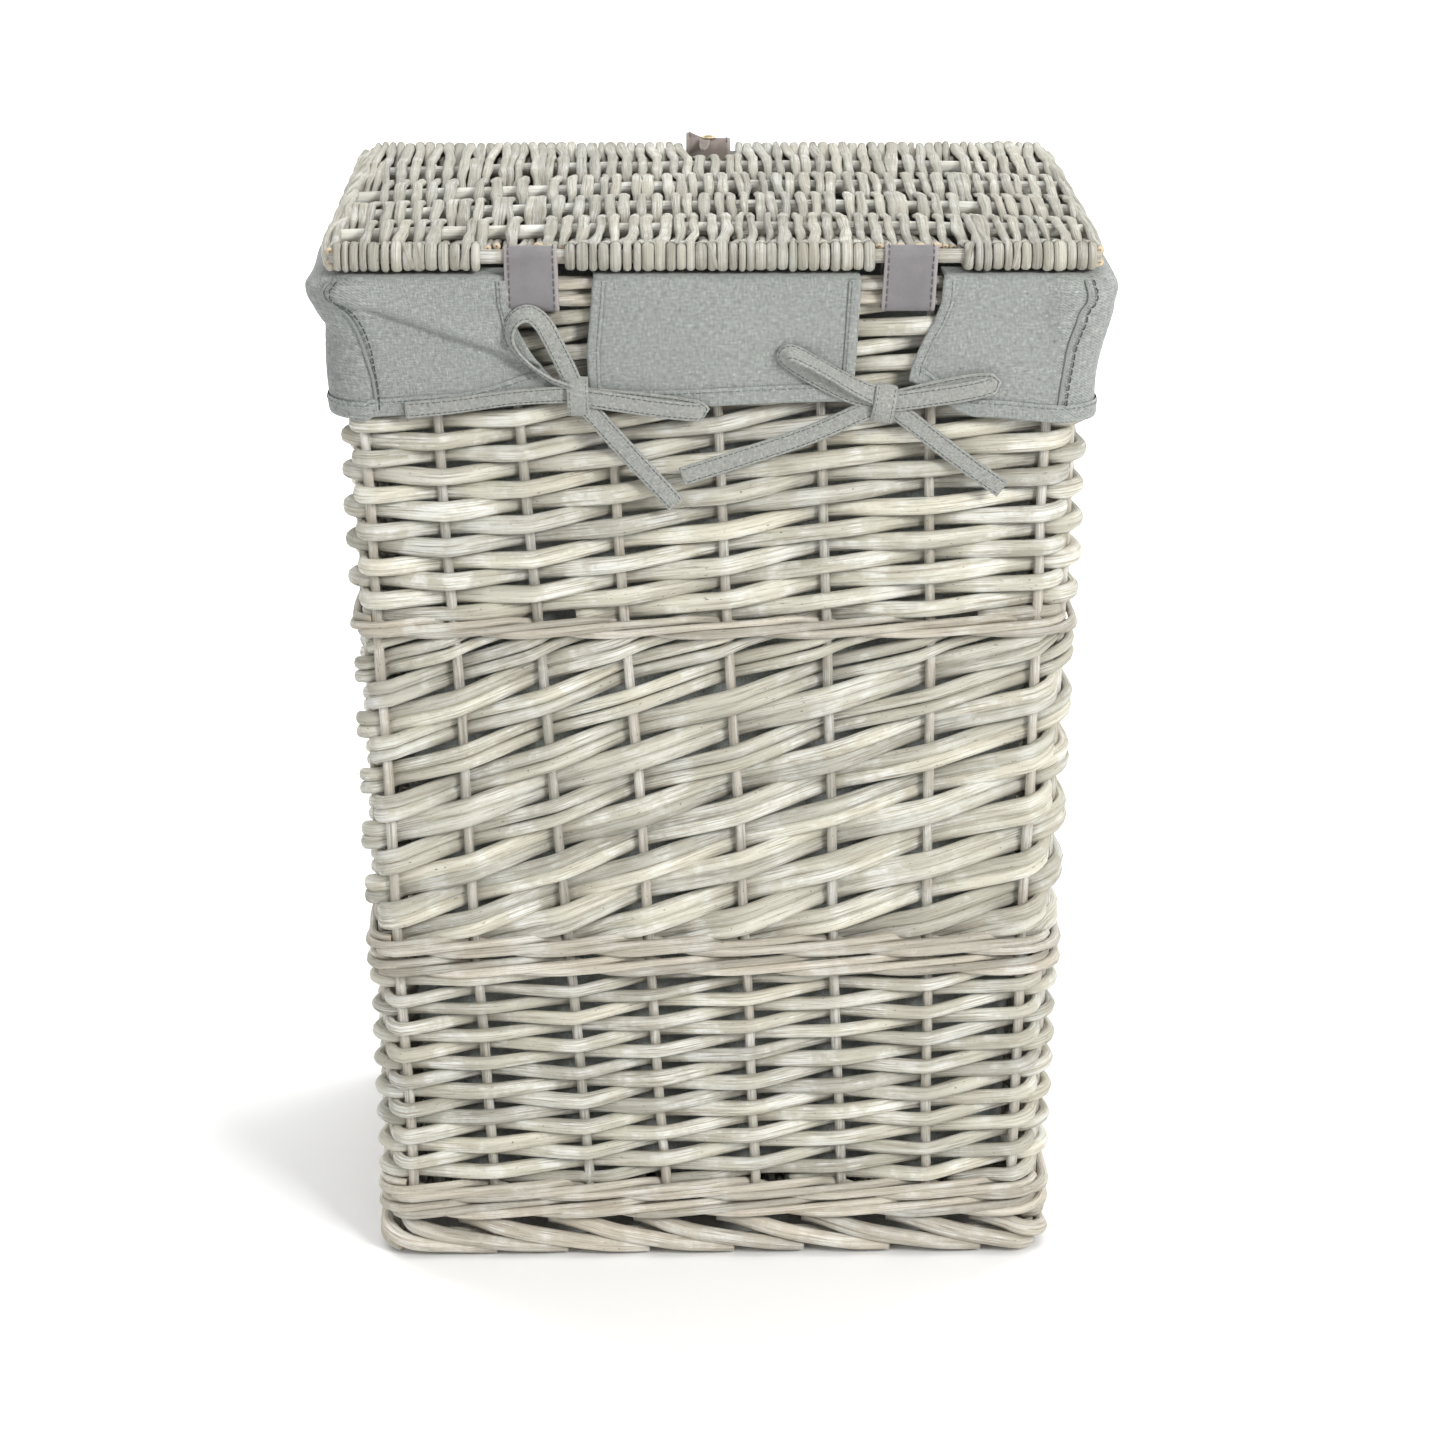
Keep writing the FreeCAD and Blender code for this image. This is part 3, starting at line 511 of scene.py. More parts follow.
def linen(name, base, dark, light, thread=0.00085, twill=True, speck=0.5):
    """Heathered linen: warp and weft threads, a faint diagonal, slubs."""
    N = Nodes(name)
    uv, ob = N.uv(), N.obj()
    x, y, _ = N.split(uv)
    k = 1.0 / thread
    wx = N.math("SINE", N.math("MULTIPLY", x, 2 * PI * k))
    wy = N.math("SINE", N.math("MULTIPLY", y, 2 * PI * k))
    weave = N.math("MULTIPLY", wx, wy)
    diag = N.math("SINE", N.math("MULTIPLY", N.math("ADD", x, N.math("MULTIPLY", y, 0.86)), 2 * PI * k * 0.62))
    n1 = N.noise(N.combine(N.math("MULTIPLY", x, k * 0.95), N.math("MULTIPLY", y, k * 0.20), 0.0), 1.0, 3.0, 0.65)
    n2 = N.noise(N.combine(N.math("MULTIPLY", x, k * 0.20), N.math("MULTIPLY", y, k * 0.95), 4.0), 1.0, 3.0, 0.65)
    big = N.noise(ob, 9.0, 3.0, 0.55)
    fleck = N.noise(N.combine(N.math("MULTIPLY", x, k * 0.55), N.math("MULTIPLY", y, k * 0.55), 9.0), 1.0, 2.0, 0.5)
    heather = N.math("ADD", N.math("MULTIPLY", n1, 0.5), N.math("MULTIPLY", n2, 0.5))
    col = N.ramp(heather, [(0.33, dark), (0.50, base), (0.67, light)])
    col = N.mix(N.math("MULTIPLY", N.ramp(weave, [(0.0, 1.0), (0.6, 0.0)]), 0.16), col, dark)
    if twill:
        col = N.mix(N.math("MULTIPLY", N.ramp(diag, [(0.0, 0.0), (1.0, 1.0)]), 0.34), col, light)
    col = N.mix(N.math("MULTIPLY", N.ramp(fleck, [(0.30, 1.0), (0.38, 0.0)]), speck), col, srgb(88, 93, 92))
    col = N.mix(N.math("MULTIPLY", N.ramp(fleck, [(0.64, 0.0), (0.72, 1.0)]), speck * 0.9), col, srgb(206, 210, 204))
    col = N.hsv(col, 0.5, 1.0, N.math("ADD", 0.90, N.math("MULTIPLY", big, 0.20)))
    ht = N.math("ADD", N.math("MULTIPLY", weave, 0.35), N.math("ADD", N.math("MULTIPLY", heather, 0.9), N.math("MULTIPLY", diag, 0.14)))
    nrm = N.bump(ht, 0.55, 0.0006)
    return N.done(col, 0.93, nrm, Specular_IOR_Level=0.18, Sheen_Weight=0.22, Sheen_Roughness=0.5)


def leather(name, base, dark):
    N = Nodes(name)
    ob = N.obj()
    vor = N.new("ShaderNodeTexVoronoi", feature="DISTANCE_TO_EDGE")
    N.link(ob, vor.inputs["Vector"])
    vor.inputs["Scale"].default_value = 820.0
    cell = N.ramp(vor.outputs[0], [(0.0, 0.0), (0.16, 1.0)])
    fine = N.noise(ob, 1500.0, 3.0, 0.6)
    big = N.noise(ob, 60.0, 3.0, 0.6)
    wear_and_shade = N.attr("wear_and_shade")
    col = N.mix(N.ramp(big, [(0.35, 0.0), (0.68, 1.0)]), base, dark)
    col = N.mix(N.math("MULTIPLY", N.math("SUBTRACT", 1.0, cell), 0.22), col, dark)
    col = N.mix(N.math("MULTIPLY", wear_and_shade, 0.55), col, srgb(172, 162, 160))
    ht = N.math("ADD", N.math("MULTIPLY", cell, 0.6), N.math("MULTIPLY", fine, 0.4))
    rough = N.math("ADD", 0.42, N.math("MULTIPLY", big, 0.2))
    return N.done(col, rough, N.bump(ht, 0.45, 0.0003), Specular_IOR_Level=0.42)


def thread(name, col):
    N = Nodes(name)
    x, y, _ = N.split(N.uv())
    tw = N.math("SINE", N.math("MULTIPLY", N.math("ADD", N.math("MULTIPLY", y, 1400.0), N.math("MULTIPLY", x, 2.0)), PI))
    c = N.mix(N.ramp(tw, [(0.0, 0.0), (1.0, 1.0)]), col, tuple(min(1.0, k * 0.7) for k in col[:3]) + (1.0,))
    return N.done(c, 0.75, N.bump(tw, 0.4, 0.0002))


def metal(name):
    N = Nodes(name)
    ob = N.obj()
    n = N.noise(ob, 420.0, 4.0, 0.6)
    m = N.noise(ob, 90.0, 3.0, 0.6)
    col = N.mix(N.ramp(m, [(0.35, 0.0), (0.7, 1.0)]), srgb(226, 212, 176), srgb(170, 150, 112))
    return N.done(col, N.math("ADD", 0.22, N.math("MULTIPLY", n, 0.22)), N.bump(n, 0.15, 0.0003), Metallic=1.0)


W_SIDE = willow("willow_siding_washed", srgb(216, 214, 202), srgb(200, 197, 182), srgb(166, 161, 146), 0.66, 1.15, 0.42, srgb(206, 200, 180))
W_WALE = willow("willow_wale_washed", srgb(211, 206, 193), srgb(194, 187, 172), srgb(160, 152, 137), 0.52, 1.15, 0.36, srgb(200, 189, 172))
W_STAKE = willow("willow_stake_bare", srgb(206, 202, 192), srgb(188, 183, 171), srgb(152, 146, 134), 0.6, 1.1, 0.40, srgb(192, 183, 168))
W_STICK = willow("willow_lid_stick", srgb(226, 226, 218), srgb(214, 213, 203), srgb(186, 184, 172), 0.7, 0.9, 0.25, srgb(216, 212, 198))
W_LID = willow("willow_lid_split", srgb(192, 191, 180), srgb(178, 176, 164), srgb(146, 143, 130), 0.42, 1.25, 0.40, srgb(184, 178, 160), 0.6)
W_EDGE = willow("willow_lid_edge", srgb(216, 207, 186), srgb(200, 188, 164), srgb(150, 134, 112), 0.5, 1.25, 0.25, srgb(206, 184, 152))
CUT = cut_end("willow_cut_end")
LINEN = linen("liner_linen", srgb(143, 146, 143), srgb(104, 109, 107), srgb(178, 181, 176))
TAPE = linen("tie_linen", srgb(148, 149, 144), srgb(112, 114, 111), srgb(180, 181, 175), thread=0.0007, speck=0.6)
LEATHER = leather("hinge_leather", srgb(124, 121, 123), srgb(113, 110, 112))
LEATHER_TAB = leather("tab_leather", srgb(132, 122, 115), srgb(100, 90, 84))
# dark thread colour: partly the thread's own colour, partly painted shade standing for the shaded stitch holes
STITCH = thread("stitch_leather", srgb(96, 91, 93))
SEAM = thread("stitch_grey", srgb(112, 120, 118))
SEAM_DARK = thread("stitch_dark", srgb(70, 76, 76))
RIVET = metal("rivet_metal_worn")

MADE = []


def finish(ob, body, nodes=()):
    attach(ob, body)
    if nodes:
        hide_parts(*nodes)
    MADE.append(ob)
    return ob


# =====================================================================
# 4. The basket's wall
# =====================================================================
def rid():
    return float(RNG.random() * 9.7)


def stakes():
    groups = {"stakes_hinge_side": range(0, 8), "stakes_right_end": range(8, 14),
              "stakes_free_side": range(14, 22), "stakes_left_end": range(22, 28)}
    for node, ks in groups.items():
        acc = Acc()
        for k in ks:
            z = np.linspace(4, 596, 75)
            u = stake_u(k, z) + 0.5 * smooth_noise(z, RNG, 260.0)
            off = 0.35 * smooth_noise(z, RNG, 180.0)
            P, Nn = wall(u, z, off)
            r = 2.85 + 0.12 * smooth_noise(z, RNG, 90.0) + 0.2 * (1 - z / 600.0)
            sweep(acc, P, Nn, r, r, 10, rid(), 0, 1)
        finish(acc.build(node + "_rods", [W_STAKE, CUT]), "basket", [node])


def fit_even(inc, hidden, want):
    inc = np.array(inc, float)
    inc[hidden] += (want - inc.sum()) / len(hidden)
    return np.maximum(inc, 0.03)


HIDDEN = list(range(8, 27))          # stake intervals away from the hinge side


def ring(step):
    """Interval list: hinge side 7, corner, right end 5, corner, free 7, corner, left end 5, corner."""
    h, c1, r, c2, f, c3, l, c4 = step
    return list(h) + [c1] + [r] * 5 + [c2] + [f] * 7 + [c3] + [l] * 5 + [c4]


class Rise:
    def __init__(self, inc):
        self.R = np.concatenate([[0], np.cumsum(inc)])
        self.tot = self.R[-1]

    def __call__(self, t):
        t = np.asarray(t, float)
        lap = np.floor(t / 28.0)
        return np.interp(t - 28 * lap, np.arange(29), self.R) + lap * self.tot

    def inv(self, r):
        lap = math.floor(r / self.tot)
        return float(np.interp(r - lap * self.tot, self.R, np.arange(29))) + 28 * lap


def siding(name, node, z0, z1, pitch, inc, want, zb, b, a, pair=1, zig=0.0, tip=0.9, dens=10, amp=6.2):
    """French randing: each weaver climbs by inc pitches from stake to stake."""
    rise = Rise(fit_even(inc, HIDDEN, want))
    acc = Acc()
    n = int(round(rise.tot))
    hb = b * pair
    under = 0.8 * hb if pair > 1 else 0.0
    for i in range(n):
        t_lo = rise.inv((z0 - 0.10 * pitch - under - zb) / pitch + i)
        t_hi = rise.inv((z1 + 0.10 * pitch + under - zb) / pitch + i)
        ks = int(math.floor(t_lo))
        ke = int(math.ceil(t_hi))
        t = []
        for k in range(ks, ke):
            gap = float(stake_u(k + 1, 300.0) - stake_u(k, 300.0))
            t.append(np.linspace(k, k + 1, max(7, int(dens * gap / 50.0)) + 1)[:-1])
        t = np.concatenate(t + [[ke]])
        zc = zb + pitch * (rise(t) - i)
        keep = (zc > z0 - 0.30 * pitch - under) & (zc < z1 + 0.30 * pitch + under)
        t, zc = t[keep], zc[keep]
        if len(t) < 6:
            continue
        s = np.cos(PI * (t - i))
        tri = np.arcsin(0.965 * s) / math.asin(0.965)
        frac = (t - t[0]) / (t[-1] - t[0])
        rodr = float(np.clip(RNG.normal(1.0, 0.05), 0.9, 1.1))
        # at the band's two ends the rods dive under the waling
        dlo = step(zc, z0 - 0.1 * hb, z0 + 0.9 * hb)
        dhi = 1 - step(zc, z1 - 0.9 * hb, z1 + 0.1 * hb)
        dive = dlo * dhi
        wob = 0.035 * pitch * smooth_noise(t, RNG, 5.0) + pitch * float(RNG.normal(0, 0.03))
        for j in range(pair):
            zz = zc - zig * pitch * tri + wob
            if pair > 1:
                lean_ = 0.25 * smooth_noise(t, RNG, 6.0)
                zz = zz + (j - (pair - 1) / 2) * 2 * b * (0.95 + 0.05 * smooth_noise(t, RNG, 4.0))
            th = (1.06 - (1.06 - tip) * frac ** 1.4) * rodr * (1 + 0.055 * smooth_noise(t, RNG, 2.2))
            th = th * (0.80 + 0.20 * step(t[-1] - t, 0.0, 1.6))
            off = amp * tri + 0.22 * smooth_noise(t, RNG, 3.0)
            if pair > 1:
                off = off + 0.5 * (j - 0.5) * smooth_noise(t, RNG, 5.0)
            off = off * dive + (1 - dive) * np.minimum(off, -1.0)
            u = u_at(t, zz)
            P, Nn = wall(u, zz, off)
            flat_ = 0.86 + 0.14 * dive
            # painted shade: the rod is darkened where it passes behind a stake and where it dives under the waling; the
            # noise term adds random dirt
            recess_shade_and_dirt = np.clip(-tri, 0, 1) ** 1.4 * 0.75 + 0.9 * (1 - dive) + 0.25 * np.clip(smooth_noise(t, RNG, 2.5), 0, 1)
            sweep(acc, P, Nn, a * th * flat_, b * th * (0.9 + 0.1 * dive), 10, rid(), 0, 1,
                  wear_and_shade=np.clip(recess_shade_and_dirt, 0, 1), v0=float(RNG.random() * 5), square=0.86)
    return finish(acc.build(name, [W_SIDE, CUT]), "basket", [node])


def waling(name, node, z0, z1, rounds, r, lean=1.0, spread=3.2, gap=0.0):
    """Three-rod waling: each strand passes outside two stakes and inside one."""
    acc = Acc()
    hgt = (z1 - z0) / rounds
    for q in range(rounds):
        zc = z0 + hgt * (q + 0.5)
        for j in range(3):
            start = j - 3 if q % 2 == 0 else j - 2
            t = []
            for k in range(start, start + 30):
                g = float(stake_u(k + 1, zc) - stake_u(k, zc))
                t.append(np.linspace(k, k + 1, max(5, int(9 * g / 50.0)) + 1)[:-1])
            t = np.concatenate(t)
            s = np.mod(t - start, 3.0)
            out = np.interp(s, [0, 0.28, 0.75, 1.2, 2.0, 2.55, 2.8, 3.0],
                            [-5.6, 0.5, 8.2, 8.0, 6.2, 4.6, 0.0, -5.6])
            zt = np.interp(s, [0, 0.35, 1.0, 2.0, 2.7, 3.0], [0.0, -1.0, -0.62, 0.35, 1.0, 0.0]) * spread * lean
            k = np.ones(3) / 3
            out = np.convolve(np.pad(out, 1, mode="edge"), k, "valid")
            zt = np.convolve(np.pad(zt, 1, mode="edge"), k, "valid")
            zz = zc + zt + 0.3 * smooth_noise(t, RNG, 4.0)
            rr = r * (1 + 0.08 * smooth_noise(t, RNG, 5.0)) * RNG.normal(1.0, 0.03)
            u = u_at(t, zz)
            P, Nn = wall(u, zz, out + gap)
            sweep(acc, P, Nn, rr * 0.95, rr, 8, rid(), 0, 1, v0=float(RNG.random() * 5))
    return finish(acc.build(name, [W_WALE, CUT]), "basket", [node])


def foot():
    """The foot border: each stake end lies outside the next two and is cut off below."""
    acc = Acc()
    for k in range(28):
        gk = float(stake_u(k + 1, 10.0) - stake_u(k, 10.0))
        span = float((1.62 if gk > 30 else 1.95) * RNG.uniform(0.94, 1.08))
        t = k + np.linspace(-0.46, span, 44)
        s = t - k
        off = np.interp(s, [-0.46, -0.16, 0.22, 1.0, span - 0.25, span], [-5.0, 1.2, 6.6, 7.2, 5.6, 3.8])
        zz = np.interp(s, [-0.46, -0.2, 0.10, 0.55, 1.1, span], [22.5, 21.4, 18.2, 13.2, 8.2, 4.8])
        kern = np.ones(7) / 7
        off = np.convolve(np.pad(off, 3, mode="edge"), kern, "valid")
        zz = np.convolve(np.pad(zz, 3, mode="edge"), kern, "valid") + 0.3 * smooth_noise(t, RNG, 3.0)
        th = np.interp(s, [-0.46, 0.0, 0.5, 1.2, span], [4.3, 4.9, 4.8, 4.3, 3.4]) * float(RNG.normal(1.0, 0.05))
        zz = np.maximum(zz, th + 0.15)
        # the rod is made darker where it comes out of the wall and towards its cut end by the floor
        wear_and_shade = np.clip((s - span + 0.3) / 0.3, 0, 1) * 0.7 + np.clip((0.05 - s) / 0.3, 0, 1) * 0.8
        P, Nn = wall(u_at(t, zz), zz, off)
        sweep(acc, P, Nn, th * 0.94, th, 12, rid(), 0, 1, wear_and_shade=wear_and_shade, v0=float(RNG.random() * 5))
    # the inner run of the same border, seen from below
    for j in range(3):
        t = np.arange(j * 9.4, j * 9.4 + 10.2, 0.12)
        zz = 7.0 + 3.4 * np.sin(PI * (t + j) / 1.0) + 0 * t
        P, Nn = wall(u_at(t, zz), zz, -5.2 + 0.6 * np.cos(PI * t))
        sweep(acc, P, Nn, 3.3, 3.5, 9, rid(), 0, 1)
    return finish(acc.build("foot_border_rods", [W_WALE, CUT]), "basket", ["foot_border"])


def rim():
    """Rows under the top edge and the plaited border on it, mostly under the cloth."""
    waling("rim_wale_rods", "rim_wale", 583.2, 591.8, 1, 2.5, 1.0, 2.4, -1.0)
    acc = Acc()
    for k in range(28):
        t = k + np.linspace(-0.1, 2.3, 40)
        s = t - k
        off = np.interp(s, [-0.1, 0.4, 1.3, 2.3], [-3.0, 6.2, 3.0, -6.0])
        zz = np.interp(s, [-0.1, 0.4, 1.3, 2.3], [592.6, 594.6, 596.6, 594.0])
        kern = np.ones(5) / 5
        off = np.convolve(np.pad(off, 2, mode="edge"), kern, "valid")
        P, Nn = wall(u_at(t, zz), zz, off)
        sweep(acc, P, Nn, 2.9, 3.0, 8, rid(), 0, 1)
    finish(acc.build("rim_border_rods", [W_WALE, CUT]), "basket", ["rim_border"])


def base():
    acc = Acc()
    for k in range(5):
        x = np.linspace(-179, 179, 60)
        y = 44.0 * (k - 2) + 0.4 * smooth_noise(x, RNG, 120.0)
        P = np.stack([x, y, 32.5 + 0.2 * smooth_noise(x, RNG, 90.0)], -1)
        r = 3.1 + 0.12 * smooth_noise(x, RNG, 60.0)
        sweep(acc, P, [0, 0, 1], r, r, 10, rid())
    finish(acc.build("base_stick_rods", [W_STAKE, CUT]), "basket", ["base_sticks"])
    acc = Acc()
    xs = np.arange(-178.0, 178.5, 5.6)
    ys = np.array([44.0 * (k - 2) for k in range(5)])
    for j, x0 in enumerate(xs):
        y = np.linspace(-119.5, 119.5, 58)
        ph = (y - ys[0]) / 44.0
        s = np.cos(PI * (ph + j)) * np.clip((119.5 - np.abs(y)) / 22.0, 0.2, 1)
        z = 32.5 + 3.3 * s
        x = x0 + 0.35 * smooth_noise(y, RNG, 60.0)
        r = 2.65 * (1 + 0.05 * smooth_noise(y, RNG, 50.0))
        P = np.stack([x, y, z], -1)
        sweep(acc, P, [0, 0, 1], 1.9, r, 8, rid())
    finish(acc.build("base_weave_rods", [W_LID, CUT]), "basket", ["base_weave"])


# =====================================================================
# 5. The lid
# =====================================================================
EY, MZ = 147.0, 611.0
STICK_X = [-209.0, -165.0, -80.0, 0.0, 125.0, 209.0]
STICK_Y = [[-96.0, -92.0, -83.0, -76.0, -80.0, -86.0], [-42.0, -38.0, -22.0, -12.0, -20.0, -30.0],
           [12.0, 17.0, 36.0, 46.0, 45.0, 40.0], [89.0, 92.0, 104.0, 110.0, 107.0, 101.0]]
SC = [np.polyfit(STICK_X, ys_, 3) for ys_ in STICK_Y]
GAPS = [(-125.0, -84.6, 0.5, 1.0), (90.2, 131.5, 1.0, 0.5)]
TAB_HALF = 15.5


def lid():
    acc = Acc()
    for y0, name in ((-EY, "lid_hinge_rod"), (EY, "lid_free_edge_rod")):
        a = Acc()
        x = np.linspace(-208.5, 208.5, 90)
        r = 3.95 + 0.10 * smooth_noise(x, RNG, 80.0)
        P = np.stack([x, y0 + 0 * x, MZ + 0 * x], -1)
        sweep(a, P, [0, 0, 1], r, r, 14, rid())
        finish(a.build(name + "_willow", [W_STAKE, CUT]), "lid", [name])
    for q in range(4):
        x = np.linspace(-209.5, 209.5, 110)
        y = np.polyval(SC[q], x) + 0.5 * smooth_noise(x, RNG, 120.0)
        P = np.stack([x, y, MZ + 0.7 + 0.25 * smooth_noise(x, RNG, 140.0)], -1)
        r = 4.25 + 0.15 * smooth_noise(x, RNG, 90.0)
        sweep(acc, P, [0, 0, 1], r * 0.95, r * 1.12, 14, rid())
    finish(acc.build("lid_stick_rods", [W_STICK, CUT]), "lid", ["lid_sticks"])

    # split strands run from the hinge edge to the free edge
    acc = Acc()
    COUNT = 96
    widths = np.clip(RNG.normal(1.0, 0.14, COUNT), 0.72, 1.35)
    mids = -206.2 + 412.4 * (np.cumsum(widths) - widths / 2) / widths.sum()
    wrapw = np.where(np.arange(COUNT) % 4 == 2, 0.0, widths)
    edges_ = -206.2 + 412.4 * (np.cumsum(wrapw) - wrapw / 2) / wrapw.sum()
    for j in range(COUNT):
        extra = j % 4 == 2
        xm = float(mids[j])
        x0 = float(edges_[j])
        skew = float(RNG.normal(0.0, 1.1))
        bend = float(RNG.normal(0.0, 0.7))
        hw = float(412.4 * widths[j] / wrapw.sum() / 2 * 0.955)
        hm = float(412.4 * widths[j] / widths.sum() / 2 * 1.08)
        front_gap = next((g for g in GAPS if g[0] - g[2] * hw < x0 < g[1] + g[3] * hw), None)
        tab_gap = abs(x0) < TAB_HALF + hw
        th = float(RNG.uniform(1.65, 2.1))
        par = (j + (1 if RNG.random() < 0.04 else 0)) % 2
        lift = 4.35 + th * 0.85

        def wrap(cy, sgn, rise_):
            """From over the edge rod round its outside and back below."""
            R = 4.0 + th
            out = []
            for ang in np.linspace(112, -100, 17):
                an = math.radians(ang)
                out.append((cy + sgn * R * math.cos(an), MZ + rise_ * max(0.0, math.sin(an)) + R * math.sin(an)))
            out.append((cy - sgn * 6.0, MZ - R * 0.92))
            out.append((cy - sgn * 15.0, MZ - 4.2))
            return out
        mid = []
        last = None
        for q in range(4):
            up = 1 if (q + par) % 2 == 0 else -1
            yq = float(np.polyval(SC[q], xm))
            zc_ = MZ + 0.7
            if last is not None:
                mid.append(((last + yq) / 2, MZ + 1.9))
            last = yq
            if up > 0:
                mid += [(yq - 7.5, zc_ + lift * 0.80), (yq + float(RNG.normal(0, 0.5)), zc_ + lift), (yq + 7.5, zc_ + lift * 0.80)]
            else:
                mid += [(yq - 4.4, zc_ - lift * 0.80), (yq, zc_ - lift), (yq + 4.4, zc_ - lift * 0.80)]
        if front_gap:
            start = [(-129.0, MZ + 1.0 + float(RNG.normal(0, 0.5)))]
        elif extra:
            start = [(-137.5, MZ - 1.5), (-130.0, MZ + 0.5)]
        else:
            start = wrap(-EY, -1, 0.2)[::-1]
        stop = [(127.0, MZ + 1.0)] if tab_gap else [(131.5, MZ + 1.5)] if extra else wrap(EY, 1, 1.5)
        allp = np.array(start + mid + stop)
        line = resample(np.stack([np.zeros(len(allp)), allp[:, 0], allp[:, 1]], -1), 3.8)
        yy, zz = line[:, 1], line[:, 2]
        at_edge = np.clip((np.abs(yy) - 138.0) / 7.0, 0, 1)
        inward = step(150.0 - np.abs(yy), 4.0, 44.0)
        xx = x0 + (xm - x0) * inward + (1 - at_edge) * (skew * np.sin((yy + 150) / 300 * PI) + bend * np.sin((yy + 150) / 100 * PI)
                                   + 0.45 * smooth_noise(yy, RNG, 70.0))
        P = np.stack([xx, yy, zz], -1)
        T = np.gradient(P, axis=0)
        T /= np.linalg.norm(T, axis=1, keepdims=True)
        O = np.cross(np.array([1.0, 0, 0]), T)
        up_now = step(zz, MZ + 1.0, MZ + 4.0)
        hw_arr = (hw + (hm - hw) * inward) * (1 + 0.10 * smooth_noise(yy, RNG, 45.0)) * (1 + 0.30 * up_now * (1 - at_edge))
        thick = th * (1 + 0.07 * smooth_noise(yy, RNG, 40.0)) * (1 + 0.15 * at_edge)
        front = (yy < -138.0).astype(float)
        # the darkening value: random wear on the hinge-side wraps and random dirt, plus painted shade where the strand
        # dips under a stick
        sweep(acc, P, O, thick, hw_arr, 9, rid(), 0, 1, wear_and_shade=np.clip(front * (0.38 * RNG.random()) + 0.8 * (1 - up_now) * (1 - at_edge) + 0.25 * np.clip(smooth_noise(yy, RNG, 30.0), 0, 1), 0, 1),
              v0=float(RNG.random() * 5), square=0.95)
        # here and there a strand is doubled on the edge, or a cut tip pokes out
        if not front_gap and not extra and RNG.random() < 0.22:
            R = 4.0 + th + 1.1
            an = np.radians(np.linspace(118, -60, 16))
            dx = float(RNG.normal(0, 1.6))
            P = np.stack([x0 + dx * np.linspace(-1, 1, 16), -EY - R * np.cos(an), MZ + R * np.sin(an)], -1)
            T = np.gradient(P, axis=0)
            sweep(acc, P, np.cross(np.array([1.0, 0, 0]), T / np.linalg.norm(T, axis=1, keepdims=True)), 1.2, hw * 0.66, 8,
                  rid(), 0, 1, wear_and_shade=0.6, round_ends=4.0)
    finish(acc.build("lid_weave_strands", [W_LID, CUT]), "lid", ["lid_weave"])

    # twisted strands that bind the two ends, each lying outside the next
    for sgn, name in ((-1, "lid_binding_left"), (1, "lid_binding_right")):
        a = Acc()
        pitch = 34.0 if sgn < 0 else 52.0
        y0 = -150.0
        m = 0
        while y0 < 128.0:
            ln = pitch * 2.5
            yv = np.linspace(y0, min(y0 + ln, 150.5), 40)
            q = (yv - y0) / ln
            big = 1.0 if sgn < 0 else 0.8
            xx = sgn * (206.5 + big * 6.6 * np.sin(PI * np.clip(q * 1.08, 0, 1)) ** 0.8 + 0.3 * smooth_noise(yv, RNG, 50.0))
            zz = MZ - 4.4 + 9.6 * q + 0.3 * smooth_noise(yv, RNG, 50.0)
            r = (3.3 if sgn < 0 else 2.6) * (1.02 - 0.28 * q) * (1 + 0.04 * smooth_noise(yv, RNG, 40.0))
            P = np.stack([xx, yv, zz], -1)
            sweep(a, P, [sgn, 0, 0], r, r * 1.08, 9, rid(), 0, 1, v0=float(RNG.random() * 5), round_ends=3.0)
            y0 += pitch * float(RNG.uniform(0.85, 1.15))
            m += 1
        for zo in (-3.4, 3.2):
            yv = np.linspace(-149.5, 149.5, 60)
            P = np.stack([sgn * (207.6 + 0.5 * np.sin(yv / 9.0)), yv, MZ + zo + 0.5 * np.cos(yv / 13.0)], -1)
            sweep(a, P, [sgn, 0, 0], 2.4, 2.5, 8, rid(), 0, 1)
        finish(a.build(name + "_strands", [W_LID, CUT]), "lid", [name])


# =====================================================================
# 6. The liner: a bag and a cuff folded over the rim
# =====================================================================
def grid_faces(nr, nc, closed=False):
    idx = np.arange(nr * nc).reshape(nr, nc)
    if closed:
        nxt = np.roll(idx, -1, axis=1)
        F = np.stack([idx[:-1], nxt[:-1], nxt[1:], idx[1:]], -1).reshape(-1, 4)
    else:
        F = np.stack([idx[:-1, :-1], idx[:-1, 1:], idx[1:, 1:], idx[1:, :-1]], -1).reshape(-1, 4)
    return F


def cloth_grid(name, P, U, V, mat, thick=1.1, closed=False, out=1.0):
    """A cloth sheet from a grid of points with UV in metres and real thickness."""
    nr, nc = P.shape[:2]
    F = grid_faces(nr, nc, closed)
    if closed:
        U = np.concatenate([U, U[:, :1] + (U[:, -1:] - U[:, :1]) * nc / (nc - 1)], axis=1)
        V = np.concatenate([V, V[:, :1]], axis=1)
    U, V = U * MM, V * MM
    quad = lambda A: np.stack([A[:-1, :-1], A[:-1, 1:], A[1:, 1:], A[1:, :-1]], -1).reshape(-1, 4)
    UV = np.stack([quad(U), quad(V)], -1)
    acc = Acc()
    acc.add(P.reshape(-1, 3), F, UV, 0.0)
    ob = acc.build(name, [mat])
    s = ob.modifiers.new("thickness", "SOLIDIFY")
    s.thickness = thick * MM
    s.offset = out
    s.use_rim = True
    s.use_quality_normals = True
    return ob


def bell(x, c, w):
    return np.exp(-((x - c) / w) ** 2)


